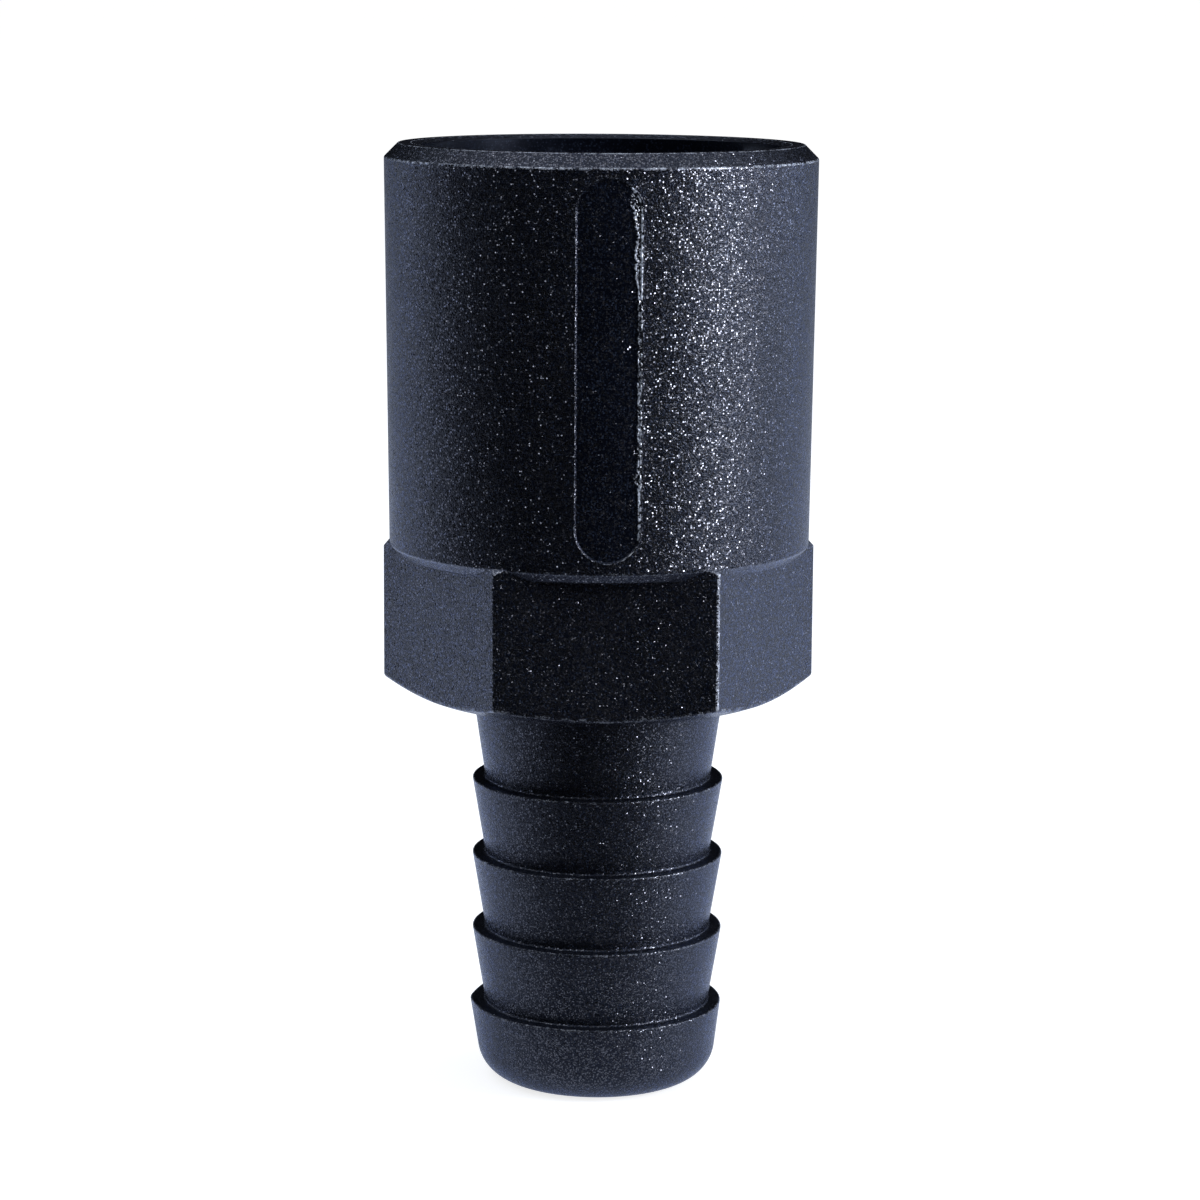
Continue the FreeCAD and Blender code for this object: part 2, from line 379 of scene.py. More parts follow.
def rounded(corners: list[Corner], support: float) -> list[list[Ring]]:
    """Rounds the corners of a closed section.

    Args:
        corners: the section's corners, in order.
        support: how far from a round the ring stands that keeps the face beside it flat.

    Returns:
        For each corner its rings, always as many whatever room the round has.
    """
    rows: list[list[Ring]] = []
    for index, corner in enumerate(corners):
        here = corner.place
        back = corners[index - 1].place - here
        ahead = corners[(index + 1) % len(corners)].place - here
        if corner.round == 0.0:
            rows.append([Ring(corner.radius, corner.height, corner.wear_and_highlight, thread=float(corner.thread))])
            continue
        room = 0.45 * min(back.length, ahead.length)
        if room < 1e-6:
            rows.append([Ring(corner.radius, corner.height)] * (corner.facets + 3))
            continue
        back_way, ahead_way = back.normalized(), ahead.normalized()
        half = back_way.angle(ahead_way) / 2
        if corner.full:
            room = math.inf
        reach = min(corner.round / math.tan(half), room)
        radius = reach * math.tan(half)
        spare = 0.0 if corner.full else min(support, room - reach + 1e-6)
        centre = here + (back_way + ahead_way).normalized() * (radius / math.sin(half))
        arrival, departure = here + back_way * reach - centre, here + ahead_way * reach - centre
        points = [here + back_way * (reach + spare)]
        for step in range(corner.facets + 1):
            share = step / corner.facets
            turn = math.pi - 2 * half
            mix = (arrival * math.sin((1 - share) * turn) + departure * math.sin(share * turn)) / math.sin(turn)
            points.append(centre + mix)
        points.append(here + ahead_way * (reach + spare))
        last = len(points) - 1
        rows.append([
            Ring(point.x, point.y, max(corner.wear_and_highlight if 0 < number < last else 0.0, corner.corner))
            for number, point in enumerate(points)
        ])
    return rows


@dataclass(frozen=True)
class Section:
    """The closed section of the whole moulding at any radius of its hexagon."""

    tail: TailSizes = TailSizes()
    hexagon: HexagonSizes = HexagonSizes()
    socket: SocketSizes = SocketSizes()
    panel: PanelSizes = PanelSizes()
    wear_and_highlight: EdgeWearAndHighlight = EdgeWearAndHighlight()
    mesh: MeshSizes = MeshSizes()

    @property
    def hexagon_top(self) -> float:
        """Height of the hexagon's upper end."""
        return self.tail.top + self.hexagon.height

    @property
    def rim(self) -> float:
        """Height of the rim, which is the whole part's height."""
        return self.hexagon_top + self.socket.length

    @property
    def lip(self) -> float:
        """Height of the underside of the socket's lip."""
        return self.hexagon_top - self.socket.lip_drop

    @property
    def lead_in_foot(self) -> float:
        """Height where the cone that leads into the thread starts."""
        return self.rim - self.socket.mouth_bevel_depth - self.socket.thread_lead_in

    @property
    def thread_top(self) -> float:
        """Height where the cone has come down to the thread's crests."""
        return self.lead_in_foot - (self.socket.thread_major_radius - self.socket.thread_minor_radius)

    @property
    def thread_foot(self) -> float:
        """Height of the thread's lower end."""
        return self.thread_top - self.socket.thread_length

    @property
    def window(self) -> Pair:
        """Lowest and highest height of the part of the wall that the panel's own mesh takes."""
        top = self.rim - self.panel.top_margin
        return top - self.panel.length - self.panel.window_margin, top + self.panel.window_margin

    @property
    def wall_foot(self) -> float:
        """Height where the lip's chamfer meets the socket's wall."""
        return self.lip + self.socket.lip_chamfer

    def wall(self, height: float) -> float:
        """Radius of the socket's drafted outside.

        Args:
            height: height above the foot.

        Returns:
            The radius.
        """
        socket = self.socket
        share = (height - self.wall_foot) / (self.rim - socket.rim_chamfer - self.wall_foot)
        return socket.foot_radius + (socket.top_radius - socket.foot_radius) * share

    def wall_heights(self) -> list[float]:
        """Heights of the wall's rings from the top down, close together beside the panel's round ends.

        Returns:
            The heights, the first and the last at the window's edges.
        """
        low, high = self.window
        near = (*self.mesh.window_end_rows, self.panel.width / 2 + self.panel.window_margin)
        middle_high, middle_low = high - near[-1], low + near[-1]
        rows = self.mesh.window_rows
        middle = [middle_high + (middle_low - middle_high) * step / rows for step in range(1, rows)]
        return [high - step for step in near] + middle + [low + step for step in reversed(near)]

    def outside(self, reach: float) -> list[Corner]:
        """Corners from the mouth over the rim and down the outside to the foot.

        Args:
            reach: the hexagon's radius there.

        Returns:
            The corners.
        """
        tail, hexagon, socket, wear_and_highlight = self.tail, self.hexagon, self.socket, self.wear_and_highlight
        side = self.wall(self.hexagon_top)
        lip_foot = socket.foot_radius - socket.lip_chamfer
        ear_edge = side + hexagon.ear_ledge
        if reach <= socket.foot_radius:
            foot = max(reach, lip_foot)
            lip_side = (socket.foot_radius, self.wall_foot)
            lip_end = (foot, self.lip + foot - lip_foot)
            face_top = (reach, lip_end[1])
        else:
            lip_side = (side, self.hexagon_top)
            lip_end = (min(reach, ear_edge), self.hexagon_top)
            face_top = (reach, self.hexagon_top - max(reach - ear_edge, 0.0))
        worn_and_highlit = wear_and_highlight.hexagon_corner * eased(reach, hexagon.reach(0.0) - 0.07, hexagon.reach(0.0) - 0.01)
        foot_edge = tail.top + (reach - hexagon.foot_face_radius) * math.tan(hexagon.foot_angle)
        corners = [
            Corner(socket.mouth_radius, self.rim, socket.mouth_round, 2, wear_and_highlight.mouth),
            Corner(socket.top_radius - socket.rim_chamfer, self.rim, socket.land_round, 3, wear_and_highlight.land),
            Corner(socket.top_radius, self.rim - socket.rim_chamfer, socket.shoulder_round, 4, wear_and_highlight.shoulder),
        ]
        corners += [Corner(self.wall(height), height) for height in self.wall_heights()]
        corners += [
            Corner(*lip_side, socket.lip_round, 3, wear_and_highlight.lip),
            Corner(*lip_end, socket.lip_round, 3, wear_and_highlight.lip),
            Corner(*face_top, hexagon.ear_round if reach > ear_edge else hexagon.flat_top_round, 2, wear_and_highlight.flat_top,
                   corner=worn_and_highlit),
            Corner(reach, face_top[1] - hexagon.flat_start),
            Corner(reach, foot_edge, hexagon.foot_round, 5, wear_and_highlight.flat_foot, corner=worn_and_highlit),
            Corner(hexagon.foot_face_radius, tail.top, hexagon.foot_face_round, 2, wear_and_highlight.foot_face),
            Corner(tail.neck_top_radius, tail.top, tail.neck_round, 3),
        ]
        for barb in reversed(range(tail.barbs)):
            crest = tail.nose_length + barb * tail.pitch
            corners += [
                Corner(tail.root_radius, crest, tail.root_round, 3),
                Corner(tail.crest_radius, crest, tail.crest_round, 4, wear_and_highlight.crest),
            ]
        return corners + [Corner(tail.nose_tip_radius, -tail.nose_trim, tail.nose_round, 16, full=True)]

    def inside(self) -> list[Corner]:
        """Corners from the foot up through the bore, the funnel and the threaded socket to the mouth.

        Returns:
            The corners, with one for every ring of the thread.
        """
        tail, socket = self.tail, self.socket
        seat = self.thread_foot - socket.relief_length
        pitch = socket.thread_pitch
        step = pitch / self.mesh.rows_per_turn
        count = math.ceil((self.lead_in_foot - self.thread_foot + pitch) / step) + 1
        thread = [
            Corner(socket.thread_minor_radius, self.thread_foot - pitch + step * number, thread=True)
            for number in range(count)
        ]
        return [
            Corner(tail.bore_radius + tail.bore_chamfer, 0.0, tail.bore_round, 2, self.wear_and_highlight.bore),
            Corner(tail.bore_radius, tail.bore_chamfer, tail.bore_round, 2),
            Corner(tail.bore_radius, seat - socket.funnel_length, socket.funnel_round, 4),
            Corner(socket.seat_radius, seat, socket.seat_round, 2),
            Corner(socket.relief_radius, seat, socket.relief_round, 2),
            Corner(socket.relief_radius, self.thread_foot),
            *thread,
            Corner(socket.thread_major_radius, self.rim - socket.mouth_bevel_depth, socket.bevel_round, 2),
        ]

    def rings(self, reach: float) -> list[Ring]:
        """The whole closed section, rounded.

        Args:
            reach: the hexagon's radius there.

        Returns:
            The rings in order, the last one at the same place as the first.
        """
        outside = self.outside(reach)
        rows = rounded(outside + self.inside(), self.mesh.support)
        rings: list[Ring] = []
        # The foot's face trims the nose, and the bore's chamfer ends that face.
        chamfer_edge = self.tail.bore_radius + self.tail.bore_chamfer + 0.02
        for number, row in enumerate(rows):
            cored = float(number >= len(outside))
            for ring in row:
                radius = ring.radius if cored else max(ring.radius, chamfer_edge)
                rings.append(Ring(radius, max(ring.height, 0.0), ring.wear_and_highlight, cored, ring.thread))
        return rings + [rings[0]]


# ---------------------------------------------------------------------------------------------
# The tree that turns the section


class TurningTree:
    """Geometry Nodes that turn a table of sections about the axis.

    The table holds the section at each column of half a sector of the hexagon, from a corner to the
    middle of a flat. The tree lays the columns out twelve times, each second time mirrored, lets the
    thread's rings climb with the turn, and joins the seams.
    """

    NAME = "turned_moulding"

    def __init__(self) -> None:
        """Builds the tree."""
        self.tree = bpy.data.node_groups.new(self.NAME, "GeometryNodeTree")
        group_socket(self.tree, "Geometry", "Geometry")
        for name, kind, default in (
            ("Rings", "Int", 100),
            ("Half Sector Columns", "Int", 24),
            ("Corner Crowding", "Float", 0.85),
            ("Thread Pitch", "Float", 0.0018),
            ("Thread Major Radius", "Float", 0.0105),
            ("Thread Minor Radius", "Float", 0.0093),
            ("Thread Foot", "Float", 0.038),
            ("Thread Top", "Float", 0.053),
            ("Lead-in Foot", "Float", 0.054),
            ("Weld Distance", "Float", WELD),
            ("Outside Finish", "Material", None),
            ("Cored Finish", "Material", None),
        ):
            group_socket(self.tree, name, kind, default)
        group_socket(self.tree, "Geometry", "Geometry", output=True)
        self.nodes = Nodes(self.tree)
        self.inputs = self.nodes.add("NodeGroupInput").outputs
        self.build()

    def sample(self, value: bpy.types.NodeSocket, index: bpy.types.NodeSocket, kind: str) -> bpy.types.NodeSocket:
        """A value of one point of the table.

        Args:
            value: the field to read.
            index: which point of the table to read it from.
            kind: the value's data type.

        Returns:
            The sampled value's socket.
        """
        inputs = {"Geometry": self.inputs["Geometry"], "Value": value, "Index": index}
        return self.nodes.add("GeometryNodeSampleIndex", inputs, data_type=kind).outputs[0]

    def named(self, attribute: Attribute, index: bpy.types.NodeSocket) -> bpy.types.NodeSocket:
        """A named value of one point of the table.

        Args:
            attribute: which value.
            index: which point of the table to read it from.

        Returns:
            The value's socket.
        """
        reader = self.nodes.add("GeometryNodeInputNamedAttribute", {"Name": attribute.value}, data_type="FLOAT")
        return self.sample(reader.outputs[0], index, "FLOAT")

    def thread_radius(self, height: bpy.types.NodeSocket, turn: bpy.types.NodeSocket) -> bpy.types.NodeSocket:
        """Radius of the female thread at a height and a turn, cut away by the cone of its lead-in.

        Args:
            height: height of the point.
            turn: how many turns it is round the axis.

        Returns:
            The radius's socket.
        """
        calc, inputs = self.nodes.math, self.inputs
        pitch = inputs["Thread Pitch"]
        phase = calc("SUBTRACT", calc("DIVIDE", calc("SUBTRACT", height, inputs["Thread Foot"]), pitch), turn)
        from_groove = calc("PINGPONG", phase, 0.5)
        # A sixth of the half pitch is rounded root and another sixth rounded crest.
        rise = calc("DIVIDE", calc("SUBTRACT", from_groove, 1 / 12), 1 / 3)
        rise = calc("SMOOTH_MIN", rise, 1.0, 0.12)
        rise = calc("SMOOTH_MAX", rise, 0.0, 0.12)
        depth = calc("SUBTRACT", inputs["Thread Major Radius"], inputs["Thread Minor Radius"])
        thread = calc("SUBTRACT", inputs["Thread Major Radius"], calc("MULTIPLY", rise, depth))
        above = calc("SUBTRACT", height, inputs["Thread Top"])
        cone = calc("ADD", inputs["Thread Minor Radius"], above)
        return calc("MINIMUM", calc("MAXIMUM", thread, cone), inputs["Thread Major Radius"])

    def build(self) -> None:
        """Lays the columns out, places their points, joins the seams and gives the finishes."""
        nodes, inputs, calc = self.nodes, self.inputs, self.nodes.math
        rings, half = inputs["Rings"], inputs["Half Sector Columns"]
        around = calc("MULTIPLY", half, 12.0)
        grid = nodes.add("GeometryNodeMeshGrid", {"Vertices X": calc("ADD", around, 1.0), "Vertices Y": rings})

        index = nodes.add("GeometryNodeInputIndex").outputs[0]
        column = calc("FLOOR", calc("DIVIDE", calc("ADD", index, 0.5), rings))
        ring = calc("SUBTRACT", index, calc("MULTIPLY", column, rings))
        entry = calc("ROUND", calc("ADD", calc("MULTIPLY", calc("PINGPONG", column, half), rings), ring))
        place = nodes.add("ShaderNodeSeparateXYZ", {0: self.sample(
            nodes.add("GeometryNodeInputPosition").outputs[0], entry, "FLOAT_VECTOR")})
        climbs = self.named(Attribute.CLIMBS, entry)

        even = calc("MULTIPLY", calc("DIVIDE", column, around), math.tau)
        waves = calc("SINE", calc("MULTIPLY", even, 6.0))
        crowd = calc("MULTIPLY", waves, calc("DIVIDE", inputs["Corner Crowding"], 6.0))
        angle = calc("SUBTRACT", even, crowd)
        turn = calc("DIVIDE", angle, math.tau)

        climbed = calc("ADD", place.outputs["Z"], calc("MULTIPLY", turn, inputs["Thread Pitch"]))
        climbed = calc("MINIMUM", calc("MAXIMUM", climbed, inputs["Thread Foot"]), inputs["Lead-in Foot"])
        height = self.either(climbs, climbed, place.outputs["Z"])
        radius = self.either(climbs, self.thread_radius(climbed, turn), place.outputs["X"])
        position = nodes.add("ShaderNodeCombineXYZ", {
            "X": calc("MULTIPLY", radius, calc("COSINE", angle)),
            "Y": calc("MULTIPLY", radius, calc("SINE", angle)),
            "Z": height,
        })
        shape = nodes.add("GeometryNodeSetPosition", {
            "Geometry": grid.outputs["Mesh"], "Position": position.outputs[0],
        })
        geometry = shape.outputs[0]
        # The points keep their order up to the weld, so the table's values are stored before it.
        for attribute in (Attribute.WEAR_AND_HIGHLIGHT, Attribute.CORED):
            store = nodes.add("GeometryNodeStoreNamedAttribute", {
                "Geometry": geometry, "Name": attribute.value, "Value": self.named(attribute, entry),
            }, data_type="FLOAT", domain="POINT")
            geometry = store.outputs[0]
        weld = nodes.add("GeometryNodeMergeByDistance", {"Geometry": geometry, "Distance": inputs["Weld Distance"]})
        real = nodes.add("GeometryNodeRealizeInstances", {"Geometry": weld.outputs[0]})
        outside = nodes.add("GeometryNodeSetMaterial", {
            "Geometry": real.outputs[0], "Material": inputs["Outside Finish"],
        })
        cored = nodes.add("GeometryNodeInputNamedAttribute", {"Name": Attribute.CORED.value}, data_type="FLOAT")
        is_cored = nodes.add("FunctionNodeCompare", {0: cored.outputs[0], 1: 0.5}, data_type="FLOAT",
                             operation="GREATER_THAN")
        finished = nodes.add("GeometryNodeSetMaterial", {
            "Geometry": outside.outputs[0], "Selection": is_cored.outputs[0], "Material": inputs["Cored Finish"],
        })
        nodes.add("NodeGroupOutput", {"Geometry": finished.outputs[0]})

    def either(
        self, switch: bpy.types.NodeSocket, on: bpy.types.NodeSocket, off: bpy.types.NodeSocket,
    ) -> bpy.types.NodeSocket:
        """One of two values.

        Args:
            switch: 1 for the first, 0 for the second.
            on: the first.
            off: the second.

        Returns:
            The chosen value's socket.
        """
        return self.nodes.add("ShaderNodeMix", {0: switch, 2: off, 3: on}, data_type="FLOAT").outputs[0]


# ---------------------------------------------------------------------------------------------
# The panel's own mesh


def on_wall(radius: float, angle: float, height: float) -> Vector:
    """A point of the moulding in metres.

    Args:
        radius: distance from the axis in millimetres.
        angle: angle from the front, towards the right, in radians.
        height: height above the foot in millimetres.

    Returns:
        The point.
    """
    return Vector((radius * math.sin(angle), -radius * math.cos(angle), height)) * MM


@dataclass(frozen=True)
class TornFlash:
    """The rough torn skin along the right side of the panel's floor, wide at the top and thin below."""

    reaches: tuple[Pair, ...] = (
        (54.1, 0.0), (53.9, 0.5), (53.0, 0.6), (51.2, 0.26), (50.6, 0.4), (48.9, 0.36), (48.2, 0.22), (38.1, 0.18),
        (37.9, 0.36), (37.6, 0.36), (37.4, 0.15), (34.7, 0.14), (34.3, 0.0),
    )
    crest: float = 0.15
    line_width: float = 0.05
    least_across: float = 1.15
    # Painted highlight: above this height the flash's crests show fully pale, below it less.
    flash_highlight_from: float = 47.5

    def reach(self, height: float) -> float:
        """How far from the panel's edge the skin reaches.

        Args:
            height: height above the foot of the part.

        Returns:
            The distance, 0 outside the skin.
        """
        for (above, wide), (below, narrow) in zip(self.reaches, self.reaches[1:]):
            if below < height <= above:
                share = (above - height) / (above - below)
                ragged = 1.0 + 0.3 * noise.noise(Vector((0.0, 3.1, height * 2.2)))
                ragged += 0.3 * noise.noise(Vector((5.0, 0.0, height * 7.0)))
                return (wide + (narrow - wide) * share) * ragged
        return 0.0

    def height(self, inset: float, across: float, height: float) -> float:
        """How far the skin stands above the panel's floor.

        Args:
            inset: distance from the panel's edge.
            across: distance to the right of the panel's middle.
            height: height above the foot of the part.

        Returns:
            The rise in millimetres.
        """
        reach = self.reach(height)
        if reach <= 0.0 or across < self.least_across or not 0.03 < inset <= reach + 0.12:
            return 0.0
        place = Vector((inset * 8.0, 0.0, height * 5.0))
        rough = 0.7 + 0.9 * noise.noise(place) + 0.4 * noise.noise(place * 2.3)
        inner = math.exp(-(((inset - reach) / self.line_width) ** 2))
        outer = 0.85 * math.exp(-(((inset - 0.08) / self.line_width) ** 2))
        veins = max(0.0, 1.0 - abs(noise.noise(place * 1.3)) * 7.0)
        between = 0.6 * veins * (inset < reach)
        return self.crest * max(rough, 0.0) * max(inner, outer, between)


@dataclass
class PanelPatch:
    """The mesh that fills the window in the socket's wall: the collar, the step and the panel's floor."""

    section: Section
    columns: list[float]
    flash: TornFlash = field(default_factory=TornFlash)
    spacing: float = 0.14
    torn_spacing: float = 0.06
    burr: float = 0.022
    line_inset: float = -0.015
    line_width: float = 0.035
    spine: int = 60
    insets: tuple[float, ...] = (
        -0.1, -0.05, -0.02, 0.01, 0.04, 0.07, 0.1, 0.13, 0.165, 0.2, 0.24, 0.28, 0.325, 0.37, 0.42, 0.47, 0.53, 0.59,
        0.65, 0.72, 0.85, 1.05, 1.3, 1.6,
    )

    @property
    def half(self) -> float:
        """Half the panel's width, which is also the radius of its ends."""
        return self.section.panel.width / 2

    @property
    def low(self) -> float:
        """Height of the centre of the panel's lower end."""
        panel = self.section.panel
        return self.section.rim - panel.top_margin - panel.length + self.half

    @property
    def straight(self) -> float:
        """Length of the panel's straight sides."""
        return self.section.panel.length - self.section.panel.width

    def slot_point(self, inset: float, run: float) -> Pair:
        """A point on the panel's outline, moved inwards.

        Args:
            inset: how far inside the outline, negative outside.
            run: way round the outline, from the foot of the right side upwards.

        Returns:
            Distance to the right of the panel's middle, and height.
        """
        half, low, straight = self.half, self.low, self.straight
        arc, radius = math.pi * half, half - inset
        if run <= straight:
            return radius, low + run
        if run <= straight + arc:
            angle = (run - straight) / half
            return radius * math.cos(angle), low + straight + radius * math.sin(angle)
        if run <= 2 * straight + arc:
            return -radius, low + 2 * straight + arc - run
        angle = (run - 2 * straight - arc) / half + math.pi
        return radius * math.cos(angle), low + radius * math.sin(angle)

    def run_towards(self, across: float, height: float) -> float:
        """Where on the outline a point of the window's edge looks.

        Args:
            across: distance to the right of the panel's middle.
            height: height above the foot of the part.

        Returns:
            The way round the outline.
        """
        half, low, straight = self.half, self.low, self.straight
        arc = math.pi * half
        if height > low + straight:
            return straight + math.atan2(height - low - straight, across) * half
        if height < low:
            return 2 * straight + arc + math.atan2(low - height, -across) * half
        if across > 0:
            return height - low
        return straight + arc + low + straight - height

    def edge(self) -> list[Pair]:
        """The window's edge, from its right side's lower corner upwards and round.

        Returns:
            Angle from the front and height of each point.
        """
        heights = list(reversed(self.section.wall_heights()))
        right, left = self.columns[-1], self.columns[0]
        points = [(right, height) for height in heights]
        points += [(angle, heights[-1]) for angle in reversed(self.columns[1:-1])]
        points += [(left, height) for height in reversed(heights)]
        return points + [(angle, heights[0]) for angle in self.columns[1:-1]]

    def depth(self, inset: float, across: float, height: float) -> float:
        """How deep a point lies under the socket's wall.

        Args:
            inset: distance inside the panel's outline.
            across: distance to the right of the panel's middle.
            height: height above the foot of the part.

        Returns:
            The depth in millimetres.
        """
        panel = self.section.panel
        depth = panel.depth * eased(inset, 0.0, panel.step_width)
        burr = self.burr * (0.8 + 0.8 * noise.noise(Vector((across * 2.5, 0.0, height * 2.5))))
        depth -= burr * math.exp(-(((inset - self.line_inset) / self.line_width) ** 2))
        return depth - self.flash.height(inset, across, height)

    def build(self, shape: bmesh.types.BMesh) -> None:
        """Adds the patch to the moulding's mesh; its edge welds to the window's.

        Args:
            shape: the mesh, with the window already open.
        """
        wall, wear_and_highlight = self.section.wall, self.section.wear_and_highlight
        smear = shape.verts.layers.float.new(Attribute.SMEAR.value)
        worn_and_highlit = shape.verts.layers.float[Attribute.WEAR_AND_HIGHLIGHT.value]
        edge = self.edge()
        total = 2 * self.straight + 2 * math.pi * self.half
        runs = [self.run_towards(wall(height) * math.sin(angle), height) for angle, height in edge]
        outer = [shape.verts.new(on_wall(wall(height), angle, height)) for angle, height in edge]
        fine: list[float] = []
        starts: list[int] = []
        for index, run in enumerate(runs):
            following = runs[(index + 1) % len(runs)]
            length = (following - run) % total
            spacing = self.torn_spacing if run < self.straight + 0.6 * self.half else self.spacing
            steps = max(2, round(length / spacing))
            starts.append(len(fine))
            fine += [(run + length * step / steps) % total for step in range(steps)]
        rings = []
        for inset in (*self.insets, self.half):
            ring = []
            for run in fine:
                across, height = self.slot_point(inset, run)
                if inset == self.half:
                    # Both sides end on the same points of the middle line.
                    step = round((height - self.low) / self.straight * self.spine)
                    height = self.low + self.straight * step / self.spine
                radius = wall(height)
                depth = self.depth(inset, across, height)
                vert = shape.verts.new(on_wall(radius - depth, math.asin(across / radius), height))
                if across > self.flash.least_across:
                    crest = self.flash.height(inset, across, height) / self.flash.crest
                    vert[smear] = float(0.0 < inset <= self.flash.reach(height) + 0.06)
                    # The flash's crests show pale, fully in the upper part and less below: partly torn skin, partly a
                    # painted highlight where they catch the right lamp.
                    flash_highlight = 1.0 if height > self.flash.flash_highlight_from else wear_and_highlight.torn_foot_highlight
                    vert[worn_and_highlit] = min(1.0, 2.0 * crest) * flash_highlight
                # The panel's outline shows a pale line: partly wear, partly a painted highlight.
                if abs(inset - self.line_inset) < 0.03:
                    vert[worn_and_highlit] = max(vert[worn_and_highlit], wear_and_highlight.panel_line)
                ring.append(vert)
            rings.append(ring)
        # The collar joins each run of the window's edge to the finer runs of the outline.
        count = len(fine)
        for index, start in enumerate(starts):
            stop = starts[index + 1] if index + 1 < len(starts) else count
            near, far = outer[index], outer[(index + 1) % len(outer)]
            middle = (start + stop) // 2
            for step in range(start, middle):
                self.face(shape, (near, rings[0][(step + 1) % count], rings[0][step]), Finish.GRAINED)
            self.face(shape, (near, far, rings[0][middle % count]), Finish.GRAINED)
            for step in range(middle, stop):
                self.face(shape, (far, rings[0][(step + 1) % count], rings[0][step]), Finish.GRAINED)
        for ring, (first, second) in enumerate(zip(rings, rings[1:])):
            finish = Finish.GRAINED if self.insets[ring] < 0.04 else Finish.PANEL
            for step in range(count):
                after = (step + 1) % count
                self.face(shape, (first[step], first[after], second[after], second[step]), finish)

    def face(self, shape: bmesh.types.BMesh, corners: tuple[bmesh.types.BMVert, ...], finish: Finish) -> None:
        """Adds one face.

        Args:
            shape: the mesh.
            corners: the face's corners.
            finish: what it is made of.
        """
        shape.faces.new(corners).material_index = finish.value


# ---------------------------------------------------------------------------------------------
# Materials


